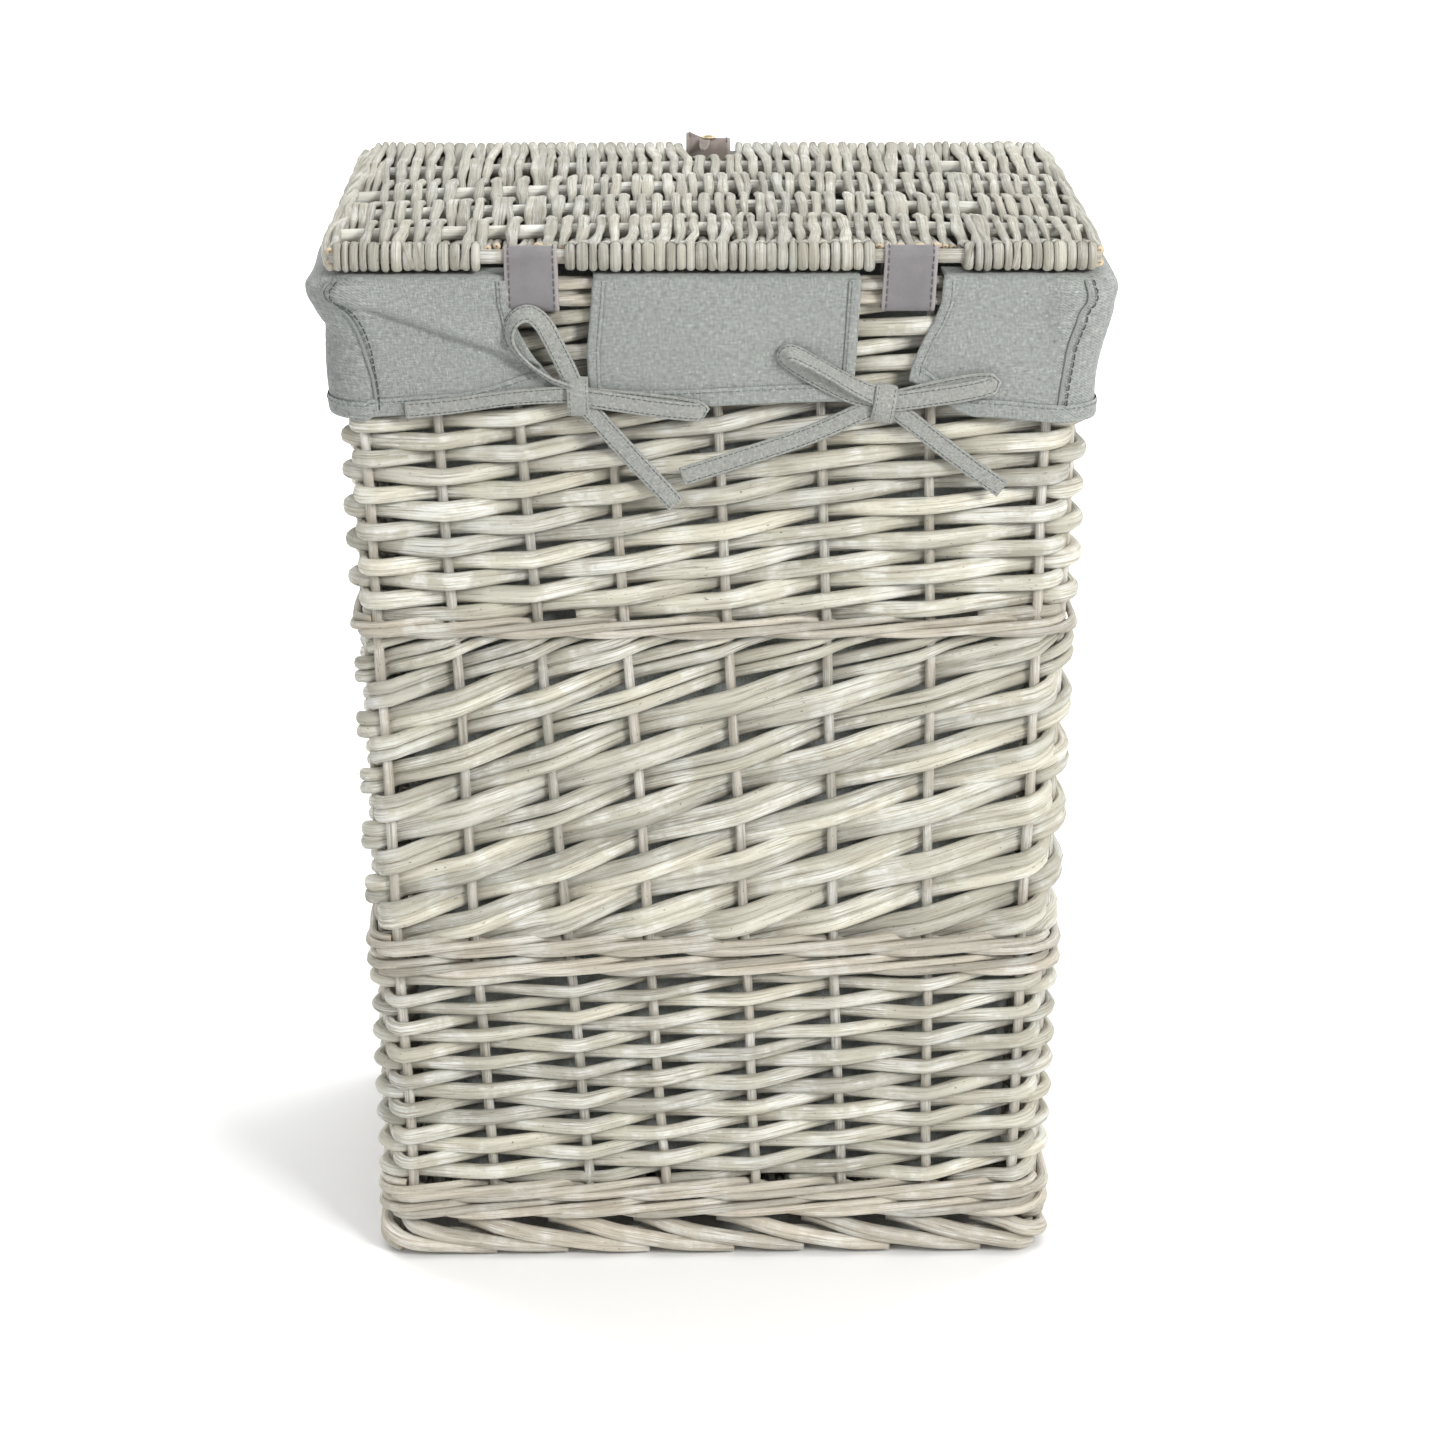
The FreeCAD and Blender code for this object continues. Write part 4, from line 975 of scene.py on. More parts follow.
L_AT = lambda z: total(z)
rngc = np.random.default_rng(77)
WR = [(rngc.uniform(0.010, 0.045), rngc.uniform(0.008, 0.03), rngc.uniform(0, 2 * PI), rngc.uniform(0.15, 0.42)) for _ in range(16)]


def wrinkle(u, z):
    w = np.zeros(np.broadcast(u, z).shape)
    L = 1355.0
    for fu, fz, ph, am in WR:
        n = max(1, round(fu * L / (2 * PI) * 1.0))
        w = w + am * np.sin(2 * PI * n * u / L + fz * 2 * PI * z * 0.35 + ph)
    return w


def ridge(u, z, p, q, high, soft):
    """A pressed fold along the line p-q: the cloth steps up on one side."""
    du, dz = q[0] - p[0], q[1] - p[1]
    n = math.hypot(du, dz)
    along = ((u - p[0]) * du + (z - p[1]) * dz) / n
    side = (-(u - p[0]) * dz + (z - p[1]) * du) / n
    fade = step(along, -12, 6) * (1 - step(along, n - 10, n + 10))
    return high * fade * (np.exp(-np.maximum(side, 0) / (soft * 14)) * step(side, -soft, soft) - 0.40 * bell(side, -soft * 2.2, soft * 2.2))


def cuff_off(u, z):
    """How far the folded cuff stands out from the wall's middle surface."""
    L = total(z)
    v = np.mod(u + L / 2, L) - L / 2             # 0 at the middle of the hinge side
    cl = -(190.6 + 8.9 - RC) - 6.0               # left corner, in perimeter terms
    off = 11.1 + 0.55 * wrinkle(v, z) * step(598 - z, 0, 22)
    # the cloth rolls over the rim and stands out below it at the ends
    left = step(-v, 180, 207) * (1 - step(-v, 430, 470))
    off = off + left * (12.5 * bell(z, 592.0, 14.0) * (1 - 0.25 * step(z, 594, 600)) + 4.6 * bell(z, 546.0, 34.0) + 0.8 * np.sin(v / 17.0))
    right = step(v, 178, 206) * (1 - step(v, 430, 470))
    off = off + right * (11.5 * step(z, 535, 596) * (1 - 0.35 * step(z, 590, 600)))
    free = step(np.abs(v), 455, 485)
    off = off + free * (2.6 * bell(z, 583, 14) + 1.0 * bell(v, 640, 60) + 0.9 * bell(v, -560, 50))
    hinge = 1 - step(np.abs(v), 175, 195)
    off = off + hinge * (0.9 * bell(z, 590, 9) - 0.5 * bell(z, 577, 8))
    # pressed folds on the two outer panels
    off = off + ridge(v, z, (-190.0, 585.0), (-94.0, 551.0), 4.2, 1.2)
    off = off + ridge(v, z, (-186.0, 572.0), (-120.0, 566.0), 0.9, 2.2)
    off = off + ridge(v, z, (-207.0, 578.0), (-193.0, 566.0), 1.8, 1.6)
    off = off + ridge(v, z, (199.0, 578.0), (126.0, 562.0), 1.5, 2.2) + ridge(v, z, (192.0, 556.0), (140.0, 533.0), 0.8, 2.6)
    off = off + ridge(v, z, (-60.0, 556.0), (66.0, 561.0), 0.5, 2.5)
    press = step(np.abs(v), L / 2 - 46.0, L / 2 - 20.0)
    off = off * (1 - press) + press * np.clip(off, 10.8, 11.0)
    return off


def cuff_bottom(u):
    L = total(530.0)
    v = np.mod(u + L / 2, L) - L / 2
    z = np.full(np.shape(v), 522.5)
    z = z + 4.0 * bell(v, -150, 40) + 16.0 * step(v, -158, -92) * (v < -60)
    z = np.where((v > -75) & (v < 85), 529.5 + 2.0 * np.sin((v - 10) / 40.0), z)
    z = np.where((v > 90) & (v < 260), 519.0 + 21.5 * (1 - step(v, 105, 150)) + 3.5 * (1 - step(v, 150, 200)), z)
    z = np.where(v < -200, 521.5 + 1.6 * np.sin(v / 61.0), z)
    z = np.where(v > 260, 519.5 + 1.8 * np.sin(v / 70.0), z)
    return z


def cuff_surface(u, z):
    """A point on the cuff's outer side."""
    P, Nn = wall(u, z, cuff_off(u, z))
    return P, Nn


def section(u, zb, rows=38):
    """Points (offset, height) from inside the rim up and over its top, the same at any perimeter u."""
    inner = [(-12.7, 586.0), (-12.7, 592.0), (-12.6, 597.0)]
    arcs = []
    for a in np.linspace(175, 100, 5):
        arcs.append((-9.0 + 3.6 * math.cos(math.radians(a)), 597.8 + 3.6 * math.sin(math.radians(a))))
    for o in (-6.0, -2.0, 2.0, 6.0):
        arcs.append((o, 601.45))
    return inner + arcs


def cuff_piece(name, ua, ub, cols, rows_out=40):
    """A cuff panel between two edges given as perimeter functions of height."""
    head = section(0, 0)
    s = np.linspace(0, 1, cols)
    P, Uc, Vc = [], [], []
    uref = ua(560.0) + (ub(560.0) - ua(560.0)) * s
    zb = cuff_bottom(uref)
    path = 0.0
    last = None
    for (o, z) in head:
        z_arr = np.full(cols, z)
        e0, e1 = ua(min(z, 593.0)), ub(min(z, 593.0))
        u = e0 + (e1 - e0) * s
        pts, _ = wall(u, z_arr, np.full(cols, o))
        if last is not None:
            path += math.hypot(o - last[0], z - last[1])
        last = (o, z)
        P.append(pts)
        Uc.append(u)
        Vc.append(np.full(cols, -path))
    top = 598.2
    for q in np.linspace(0, 1, rows_out):
        z_arr = top + (zb - top) * q
        e0, e1 = ua(z_arr), ub(z_arr)
        u = e0 + (e1 - e0) * s
        off = cuff_off(u, z_arr)
        if q == 0:
            pts, _ = wall(u, np.full(cols, 600.9), np.minimum(off - 1.2, 12.5))
            P.append(pts)
            Uc.append(u)
            Vc.append(np.full(cols, -path - 6.0))
        pts, _ = wall(u, z_arr, off)
        P.append(pts)
        Uc.append(u)
        Vc.append(-path - 9.0 - (top - z_arr))
    return np.array(P), np.array(Uc), np.array(Vc)


def edge_fn(points):
    zs = np.array([p[1] for p in points])[::-1]
    xs = np.array([p[0] for p in points])[::-1]

    def f(z):
        z = np.asarray(z, float)
        return u_front(np.interp(z, zs, xs), z)
    return f


E_LL = edge_fn([(-112.5, 600), (-111.8, 586), (-109.0, 574), (-103.4, 563), (-94.0, 549), (-85.5, 541), (-83.5, 520)])
E_CL = edge_fn([(-66.0, 600), (-66.8, 588), (-69.5, 560), (-69.0, 540), (-67.5, 520)])
E_CR = edge_fn([(78.5, 600), (78.0, 588), (76.5, 560), (75.2, 540), (74.0, 520)])
E_RL = edge_fn([(124.0, 600), (123.0, 586), (119.0, 575), (114.0, 566), (108.0, 552), (105.8, 541), (105.0, 520)])


def stitches(acc, line, normals, pitch, size, length, mat=0, lift=0.25):
    """Short threads lying along a line on a surface."""
    line = np.asarray(line, float)
    s = np.concatenate([[0], np.cumsum(np.linalg.norm(np.diff(line, axis=0), axis=1))])
    n = int(s[-1] / pitch)
    for i in range(n):
        a = (i + 0.5) * pitch
        q = np.linspace(a - length / 2, a + length / 2, 5)
        if q[0] < 0 or q[-1] > s[-1]:
            continue
        P = np.stack([np.interp(q, s, line[:, c]) for c in range(3)], -1)
        Nn = np.stack([np.interp(q, s, normals[:, c]) for c in range(3)], -1)
        Nn /= np.linalg.norm(Nn, axis=1, keepdims=True)
        arch = np.array([-0.25, 0.8, 1.0, 0.8, -0.25])
        P = P + Nn * (lift + size * 0.5 * arch)[:, None]
        sweep(acc, P, Nn, size * 0.5, size * 0.5, 6, rid(), mat, mat, v0=a * MM)


def cuff_line(pts, n=120):
    """A line on the cuff from (x or perimeter, z) points on the hinge side."""
    pts = np.array(pts, float)
    s = np.linspace(0, 1, n)
    k = np.linspace(0, 1, len(pts))
    u = np.interp(s, k, pts[:, 0])
    z = np.interp(s, k, pts[:, 1])
    P, Nn = cuff_surface(u, z)
    return P, Nn


def liner():
    # --- main panel: from the right slot round the back to the left slot
    L = total(560.0)
    ua = E_RL
    ub = lambda z: E_LL(z) + total(np.asarray(z, float))
    P, U, V = cuff_piece("m", ua, ub, 420, 34)
    main = cloth_grid("cuff_main_cloth", P, U, V, LINEN, 1.1, out=1.0)
    Pc, Uc, Vc = cuff_piece("c", E_CL, E_CR, 62, 34)
    centre = cloth_grid("cuff_centre_cloth", Pc, Uc, Vc, LINEN, 1.1, out=1.0)
    for ob, (PP, UU, VV) in ((main, (P, U, V)), (centre, (Pc, Uc, Vc))):
        finish(ob, "basket", ["liner_cuff"])
        a, b = PP[:-1, :-1], PP[1:, 1:]
        w = float(np.linalg.norm(np.diff(PP[20], axis=0), axis=1).sum()) * MM
        hgt = float(np.linalg.norm(np.diff(PP[:, PP.shape[1] // 2], axis=0), axis=1).sum()) * MM

    # --- hems: a doubled strip along each free edge, with its stitching
    hems = Acc()
    seams = Acc()
    seams2 = Acc()
    for (PP, ua_, ub_, cols) in ((P, ua, ub, 420), (Pc, E_CL, E_CR, 62)):
        s = np.linspace(0, 1, cols * 2)
        e0, e1 = ua_(535.0), ub_(535.0)
        u = e0 + (e1 - e0) * s
        zb = cuff_bottom(ua_(560.0) + (ub_(560.0) - ua_(560.0)) * s)
        rowsH = []
        for dz, lift in ((-0.5, -0.4), (-0.55, 1.0), (1.0, 1.45), (4.0, 1.5), (7.0, 1.4), (8.6, 1.25), (9.4, 0.9)):
            z = zb + dz
            uu = ua_(z) + (ub_(z) - ua_(z)) * s
            p, nn = wall(uu, z, cuff_off(uu, z) + lift + 0.12 * np.sin(s * cols * 0.9))
            rowsH.append(p)
        G = np.array(rowsH)
        F = grid_faces(*G.shape[:2])
        Uh = np.broadcast_to(u[None, :], G.shape[:2]) * MM
        Vh = np.broadcast_to(np.array([0, 1, 2, 5, 8, 9.5, 10])[:, None], G.shape[:2]) * MM + 0.3
        quad = lambda A: np.stack([A[:-1, :-1], A[:-1, 1:], A[1:, 1:], A[1:, :-1]], -1).reshape(-1, 4)
        hems.add(G.reshape(-1, 3), F[:, ::-1], np.stack([quad(Uh), quad(Vh)], -1)[:, ::-1], 0.0)
        z = zb + 7.4
        uu = ua_(z) + (ub_(z) - ua_(z)) * s
        p, nn = wall(uu, z, cuff_off(uu, z) + 1.4)
        stitches(seams, p, nn, 3.6, 0.5, 2.3, 0, -0.05)
    # vertical edges of the slots
    for fn, sgn in ((E_LL, -1), (E_CL, 1), (E_CR, -1), (E_RL, 1)):
        zt = 599.0
        u_mid = float(fn(540.0))
        zb = float(cuff_bottom(np.array([u_mid + sgn * 3.0]))[0])
        z = np.linspace(zt, zb - 0.3, 60)
        rows = []
        for d, lift in ((-0.5, -0.2), (-0.6, 1.1), (1.0, 1.55), (3.5, 1.6), (5.4, 1.4), (6.2, 0.9)):
            uu = fn(z) + sgn * d
            p, nn = wall(uu, z, cuff_off(uu, z) + lift)
            rows.append(p)
        G = np.array(rows)
        F = grid_faces(*G.shape[:2])
        Uh = np.broadcast_to((np.array([0, 1, 2.4, 5, 7, 7.6]) + u_mid)[:, None], G.shape[:2]) * MM
        Vh = np.broadcast_to(z[None, :], G.shape[:2]) * MM
        uvq = np.stack([quad(Uh), quad(Vh)], -1)
        if sgn > 0:
            hems.add(G.reshape(-1, 3), F, uvq, 0.0)
        else:
            hems.add(G.reshape(-1, 3), F[:, ::-1], uvq[:, ::-1], 0.0)
        uu = fn(z) + sgn * 4.6
        p, nn = wall(uu, z, cuff_off(uu, z) + 1.5)
        stitches(seams, p, nn, 3.4, 0.5, 2.3, 0, 0.0)
    ob = hems.build("cuff_hems", [LINEN])
    finish(ob, "basket")
    # corner seams
    for uz in ([(-194.7, 599), (-195.2, 590), (-189.9, 578), (-186.5, 557), (-183.9, 536), (-183.7, 526)],
               [(195.1, 599), (195.4, 587), (193.8, 580), (191.4, 562.5), (189.7, 537.5), (189.1, 525)]):
        uz = resample(np.array([(a, b, 0) for a, b in uz]), 2.0)[:, :2]
        u, z = uz[:, 0], uz[:, 1]
        p, nn = wall(u, z, cuff_off(u, z) + 1.1)
        g = Acc()
        stitches(seams2, p, nn, 4.4, 0.9, 3.0, 0, 0.05)
        # the raised lip of the seam allowance beside the stitches
        p2, n2 = wall(u - 1.8, z, cuff_off(u - 1.8, z) + 0.9)
        sweep(hems, p2, n2, 0.35, 0.9, 8, 0.0, 0, 0)
    ob2 = seams.build("cuff_stitches", [SEAM])
    finish(ob2, "basket")
    ob3 = seams2.build("corner_seam_stitches", [SEAM_DARK])
    finish(ob3, "basket")
    # hems grew after its first build, so it is built again with the seam lips
    bpy.data.objects.remove(ob)
    MADE.remove(ob)
    ob = hems.build("cuff_hems", [LINEN])
    finish(ob, "basket")

    # --- the bag inside, from under the cuff down to the floor and across it
    cols = 300
    rows = []
    U2, V2 = [], []
    zlist = np.concatenate([np.linspace(590.0, 560, 10), np.linspace(554, 52, 70), [47.5, 44.0, 41.6, 40.2]])
    for n_, z in enumerate(zlist):
        Lz = total(z)
        s = np.linspace(0, 1, cols, endpoint=False)
        u = s * Lz
        deep = step(590 - z, 0, 60)
        soft = 0.55 * wrinkle(u * 1355 / Lz + 200, z * 0.8) + 1.1 * np.sin(2 * PI * 9 * s + z / 95.0) * step(z, 60, 300) * 0.6
        off = -13.2 - deep * (4.6 + np.clip(soft + 1.0, 0, 3.2))
        if z < 50:
            off = off - np.interp(z, [40.2, 41.6, 44.0, 47.5, 50], [9.0, 5.2, 2.6, 1.0, 0.0])
        mx, my = half(z)
        # rounded rectangle drawn directly, because the inset is larger than the corner radius
        hx, hy = mx + off, my + off
        rc = 9.0
        P0, N0 = wall(u, np.full(cols, z), 0.0)
        th = np.arctan2(N0[:, 1], N0[:, 0])
        cx = np.clip(P0[:, 0], -(mx - RC), mx - RC) * (hx - rc) / (mx - RC)
        cy = np.clip(P0[:, 1], -(my - RC), my - RC) * (hy - rc) / (my - RC)
        rows.append(np.stack([cx + rc * N0[:, 0], cy + rc * N0[:, 1], np.full(cols, z)], -1))
        U2.append(u * 1.0)
        V2.append(np.full(cols, z))
    # floor of the bag: shrink to a line along the middle
    lastring = rows[-1].copy()
    for f in (0.90, 0.78, 0.62, 0.45, 0.28, 0.12, 0.02):
        ring_ = lastring.copy()
        ring_[:, 0] = np.sign(lastring[:, 0]) * np.maximum(np.abs(lastring[:, 0]) - (1 - f) * 113.0, 0.0) if False else lastring[:, 0] * (f + (1 - f) * 0.34)
        ring_[:, 1] = lastring[:, 1] * f
        ring_[:, 2] = 39.6 + 0.5 * np.sin(ring_[:, 0] / 23.0) * np.cos(ring_[:, 1] / 31.0) * (1 - f)
        rows.append(ring_)
        U2.append(U2[-1])
        V2.append(np.full(cols, 40.0 - (1 - f) * 113.0))
    P3, U3, V3 = np.array(rows), np.array(U2), np.array(V2)
    bag = cloth_grid("liner_bag_cloth", P3, U3, V3, LINEN, 1.0, closed=True, out=-1.0)
    finish(bag, "basket", ["liner_bag"])


# =====================================================================
# 7. Ribbons: the tape bows and the leather
# =====================================================================
def ribbon(acc, P, Nn, width, thick, rid_=0.0, mat=0, wear_edge=True, edge_mat=None, v0=0.0, crown=0.0):
    """A flat strip: P is its middle line and Nn its face normal.  Rounded edges."""
    P, Nn = np.asarray(P, float), np.asarray(Nn, float)
    n = len(P)
    T = np.gradient(P, axis=0)
    T /= np.linalg.norm(T, axis=1, keepdims=True) + 1e-12
    B = np.cross(T, Nn)
    B /= np.linalg.norm(B, axis=1, keepdims=True) + 1e-12
    Nn = np.cross(B, T)
    w = np.broadcast_to(np.asarray(width, float), (n,)) / 2
    h = np.broadcast_to(np.asarray(thick, float), (n,)) / 2
    k = 0.45
    prof = [(-1, -0.55), (-0.97, -1), (-0.8, -1), (-0.4, -1), (0, -1), (0.4, -1), (0.8, -1), (0.97, -1), (1, -0.55),
            (1, 0.55), (0.97, 1), (0.8, 1), (0.4, 1), (0, 1), (-0.4, 1), (-0.8, 1), (-0.97, 1), (-1, 0.55)]
    pr = np.array(prof)
    m = len(pr)
    cr = crown * (1 - pr[:, 0] ** 2)
    V = (P[:, None] + B[:, None] * (w[:, None] * pr[None, :, 0])[..., None]
         + Nn[:, None] * (h[:, None] * pr[None, :, 1] + cr[None, :])[..., None])
    s = np.concatenate([[0], np.cumsum(np.linalg.norm(np.diff(P, axis=0), axis=1))]) * MM + v0
    idx = np.arange(n * m).reshape(n, m)
    nxt = np.roll(idx, -1, axis=1)
    F = np.stack([idx[:-1], nxt[:-1], nxt[1:], idx[1:]], -1).reshape(-1, 4)
    uu = np.concatenate([pr[:, 0], pr[:1, 0]]) * float(np.mean(w)) * MM
    U0, U1 = np.broadcast_to(uu[:-1], (n - 1, m)), np.broadcast_to(uu[1:], (n - 1, m))
    S0, S1 = np.broadcast_to(s[:-1, None], (n - 1, m)), np.broadcast_to(s[1:, None], (n - 1, m))
    UV = np.stack([np.stack([U0, S0], -1), np.stack([U1, S0], -1), np.stack([U1, S1], -1), np.stack([U0, S1], -1)], 2).reshape(-1, 4, 2)
    we = np.tile((np.abs(pr[:, 0]) > 0.96).astype(float) * (1.0 if wear_edge else 0.0), n)
    acc.v.append(V.reshape(-1, 3))
    acc.rid.append(np.full(n * m, rid_))
    acc.wear_and_shade.append(we)
    acc._faces(F, UV, mat)
    cu = np.stack([pr[:, 0] * 0.005, pr[:, 1] * 0.001], -1)
    acc._faces(np.stack([idx[0][::-1], idx[-1]]), np.stack([cu[::-1], cu]), mat)
    acc.n += n * m
    return P, T, B, Nn


def front_frame(pts, step_=1.6):
    """(x, z, height above the cuff) control points to a smooth line in space."""
    line = resample(np.array(pts, float), step_)
    x, z, d = line[:, 0], line[:, 1], line[:, 2]
    y0 = -(140.6 + 8.9 * z / HGT) - 2.4
    return np.stack([x, y0 - d, z], -1)


def tape(acc, seams, pts, width=10.6, thick=1.3, tilt=None, crown=0.25):
    P = front_frame(pts)
    T = np.gradient(P, axis=0)
    T /= np.linalg.norm(T, axis=1, keepdims=True)
    up = np.array([0.0, -1.0, 0.0])
    if tilt is None:
        Nn = np.broadcast_to(up, P.shape).copy()
    else:
        k = np.interp(np.linspace(0, 1, len(P)), np.linspace(0, 1, len(tilt)), tilt)
        side = np.cross(T, up)
        side /= np.linalg.norm(side, axis=1, keepdims=True) + 1e-9
        Nn = up * np.cos(np.radians(k))[:, None] + side * np.sin(np.radians(k))[:, None]
    Nn = Nn - T * (Nn * T).sum(1, keepdims=True)
    bad = np.linalg.norm(Nn, axis=1) < 0.2
    Nn[bad] = Nn[~bad][0] if (~bad).any() else up
    Nn /= np.linalg.norm(Nn, axis=1, keepdims=True)
    P, T, B, N2 = ribbon(acc, P, Nn, width, thick, rid(), 0, False, v0=float(RNG.random()), crown=crown)
    for e in (-1, 1):
        for f in (-1, 1):
            line = P + B * (e * (width / 2 - 1.5)) + N2 * (f * (thick / 2))
            stitches(seams, line, N2 * f, 3.0, 0.42, 2.1, 0, 0.02)
    return P


def loop_tape(acc, seams, root, tip, bulge, d0, width=10.6, lift=5.0):
    """A bow loop: out along the cuff, round at the tip and back over itself."""
    (x0, z0), (x1, z1) = root, tip
    n = math.hypot(x1 - x0, z1 - z0)
    ex, ez = (x1 - x0) / n, (z1 - z0) / n
    px, pz = -ez, ex
    pts = []
    for f, side, d in ((0.0, 0.0, d0), (0.3, bulge * 0.6, d0 + 0.3), (0.7, bulge, d0 + 0.5), (0.93, bulge * 0.7, d0 + 1.2),
                       (1.0, 0.0, d0 + lift * 0.55), (0.93, -bulge * 0.5, d0 + lift), (0.7, -bulge * 0.7, d0 + lift + 0.4),
                       (0.3, -bulge * 0.4, d0 + lift * 0.8), (0.0, 0.0, d0 + lift * 0.6)):
        pts.append((x0 + ex * n * f + px * side, z0 + ez * n * f + pz * side, d))
    return tape(acc, seams, pts, width)


def knot(acc, seams, x, z, ang, size=(20.0, 12.0), d=4.6):
    """The wrapped centre of a bow: a short band bent over the loops."""
    a = math.radians(ang)
    ex, ez = math.cos(a), math.sin(a)
    pts = []
    for f, h in ((-1.0, -0.2), (-0.88, 2.0), (-0.5, d), (0.0, d + 1.0), (0.5, d), (0.88, 2.0), (1.0, -0.2)):
        pts.append((x + ex * f * size[0] / 2, z + ez * f * size[0] / 2, h))
    return tape(acc, seams, pts, size[1], 1.8, crown=0.6)


def fray(acc, x, z, d, dx, dz, width=10.0):
    """Loose threads at a tape's cut end."""
    n = math.hypot(dx, dz)
    ex, ez = dx / n, dz / n
    for _ in range(9):
        f = float(RNG.uniform(-0.5, 0.5))
        ln = float(RNG.uniform(1.5, 4.5))
        sx, sz = x - ez * f * width, z + ex * f * width
        bend = float(RNG.normal(0, 0.8))
        P = front_frame([(sx - ex, sz - ez, d), (sx + ex * ln * 0.5, sz + ez * ln * 0.5, d + 0.2),
                         (sx + ex * ln + ez * bend, sz + ez * ln - ex * bend, d + 0.5)], 0.8)
        sweep(acc, P, [0, -1, 0], 0.13, 0.13, 5, rid(), 0, 0)


def bows():
    for side, node, (kx, kz) in (("left", "cuff_tie_left", (-75.1, 534.9)), ("right", "cuff_tie_right", (92.2, 530.5))):
        acc, seams = Acc(), Acc()
        if side == "left":
            # an open loop: one limb lies flat, the other stands on its edge
            tape(acc, seams, [(kx - 1, kz + 3, 2.4), (-80.5, 549.0, 2.2), (-87.0, 563.0, 2.6), (-93.5, 575.5, 3.4), (-101.0, 581.6, 4.6),
                              (-108.5, 579.0, 5.4), (-112.0, 571.0, 5.2), (-110.0, 563.0, 4.4), (-102.0, 553.5, 3.6), (-91.0, 545.0, 2.6), (kx - 4, kz + 3, 2.0)],
                 10.4, 1.3, tilt=[4, 6, 8, 10, 26, 48, 62, 70, 72, 66, 40])
            tape(acc, seams, [(kx, kz + 1, 2.6), (kx - 14, kz + 0.8, 2.2), (-112.0, 534.0, 1.6), (-142.0, 529.8, 1.3), (-169.7, 527.0, 1.3)], 9.4,
                 1.3, tilt=[0, -8, -14, -8, 0])
            loop_tape(acc, seams, (kx + 1, kz), (-8.0, 526.5), 1.2, 1.4, 10.2, 3.2)
            tape(acc, seams, [(kx, kz, 1.8), (kx + 8, kz - 10, 1.5), (-50.0, 505.0, 1.5), (-33.0, 486.0, 1.9), (-21.5, 473.0, 2.0)], 10.6)
            fray(acc, -20.3, 471.8, 2.0, 0.66, -0.75)
            fray(acc, -170.5, 526.9, 1.3, -1.0, -0.1)
            knot(acc, seams, kx, kz - 0.5, 92)
        else:
            tape(acc, seams, [(kx - 1, kz + 1, 2.0), (74.0, 536.0, 2.2), (56.0, 545.0, 2.6), (43.0, 552.5, 3.4), (37.4, 557.5, 5.0),
                              (41.0, 560.0, 6.2), (50.0, 556.0, 6.0), (62.0, 549.0, 5.0), (77.0, 540.0, 3.8), (kx - 3, kz + 4, 2.6)],
                 10.6, 1.3, tilt=[0, -4, -8, -14, -30, -48, -56, -56, -44, -20])
            loop_tape(acc, seams, (kx + 1, kz + 0.5), (151.0, 541.6), 2.0, 1.4, 10.6, 3.4)
            tape(acc, seams, [(kx, kz, 1.8), (kx - 12, kz - 5, 1.5), (50.0, 512.0, 1.5), (12.0, 499.0, 1.6), (-18.5, 489.0, 2.0)], 10.6)
            tape(acc, seams, [(kx, kz, 1.6), (kx + 12, kz - 8, 1.4), (125.0, 506.0, 1.4), (145.0, 491.0, 1.8), (158.5, 481.5, 2.0)], 10.6)
            fray(acc, -19.6, 488.6, 2.0, -1.0, -0.33)
            knot(acc, seams, kx, kz - 0.5, 80)
        ob = acc.build("bow_tape_" + side, [TAPE])
        finish(ob, "basket", [node])
        st = seams.build("bow_stitches_" + side, [SEAM_DARK])
        finish(st, "basket")


def straps():
    """Leather hinge loops: over the lid's edge rod, down the outside and back inside."""
    for tag, xc, tilt in (("left", -99.6, 0.8), ("right", 105.2, -1.6)):
        acc, seams = Acc(), Acc()
        R = 5.1
        pts = []
        y_in, y_out = -127.9, -152.1
        pts += [(y_in, 583.5), (y_in, 590.0), (y_in - 0.2, 597.0), (-129.4, 601.6), (-134.0, 606.4), (-139.6, 612.1)]
        for ang in np.linspace(38, 180, 9):
            an = math.radians(ang)
            pts.append((-147.0 + R * math.cos(an), 611.0 + R * math.sin(an)))
        pts += [(y_out, 605.0), (y_out - 0.1, 598.0), (y_out, 590.0), (y_out + 0.2, 585.5), (y_out + 1.8, 582.6), (-147.0, 581.8), (-138.0, 581.8), (-130.5, 582.0)]
        line = resample(np.array([(0.0, a, b) for a, b in pts]), 1.5)
        P = line.copy()
        P[:, 0] = xc + tilt * (600.0 - P[:, 2]) / 20.0 * 0.6
        T = np.gradient(P, axis=0)
        T /= np.linalg.norm(T, axis=1, keepdims=True)
        Nn = np.cross(np.array([1.0, 0, 0]), T)
        Nn = -Nn if Nn[len(Nn) // 2][1] > 0 and Nn[len(Nn) // 2][2] < 0 else Nn
        # the outer face is the one away from the loop's middle
        centre = np.array([0, -140.0, 597.0])
        if (Nn[len(Nn) // 2] * (P[len(P) // 2] - centre)).sum() < 0:
            Nn = -Nn
        w = 28.9 + 0.15 * smooth_noise(np.arange(len(P)) * 1.0, RNG, 30.0)
        P, T, B, N2 = ribbon(acc, P, Nn, w, 1.9, 0.0, 0, True)
        for e in (-1, 1):
            line2 = P + B * (e * (14.45 - 2.4)) + N2 * 0.95
            keep = (P[:, 1] < -143.0)
            stitches(seams, line2[keep], N2[keep], 4.2, 0.75, 2.7, 0, 0.0)
        ob = acc.build("hinge_strap_leather_" + tag, [LEATHER])
        finish(ob, "basket", ["hinge_strap_" + tag])
        st = seams.build("hinge_strap_stitches_" + tag, [STITCH])
        finish(st, "basket")


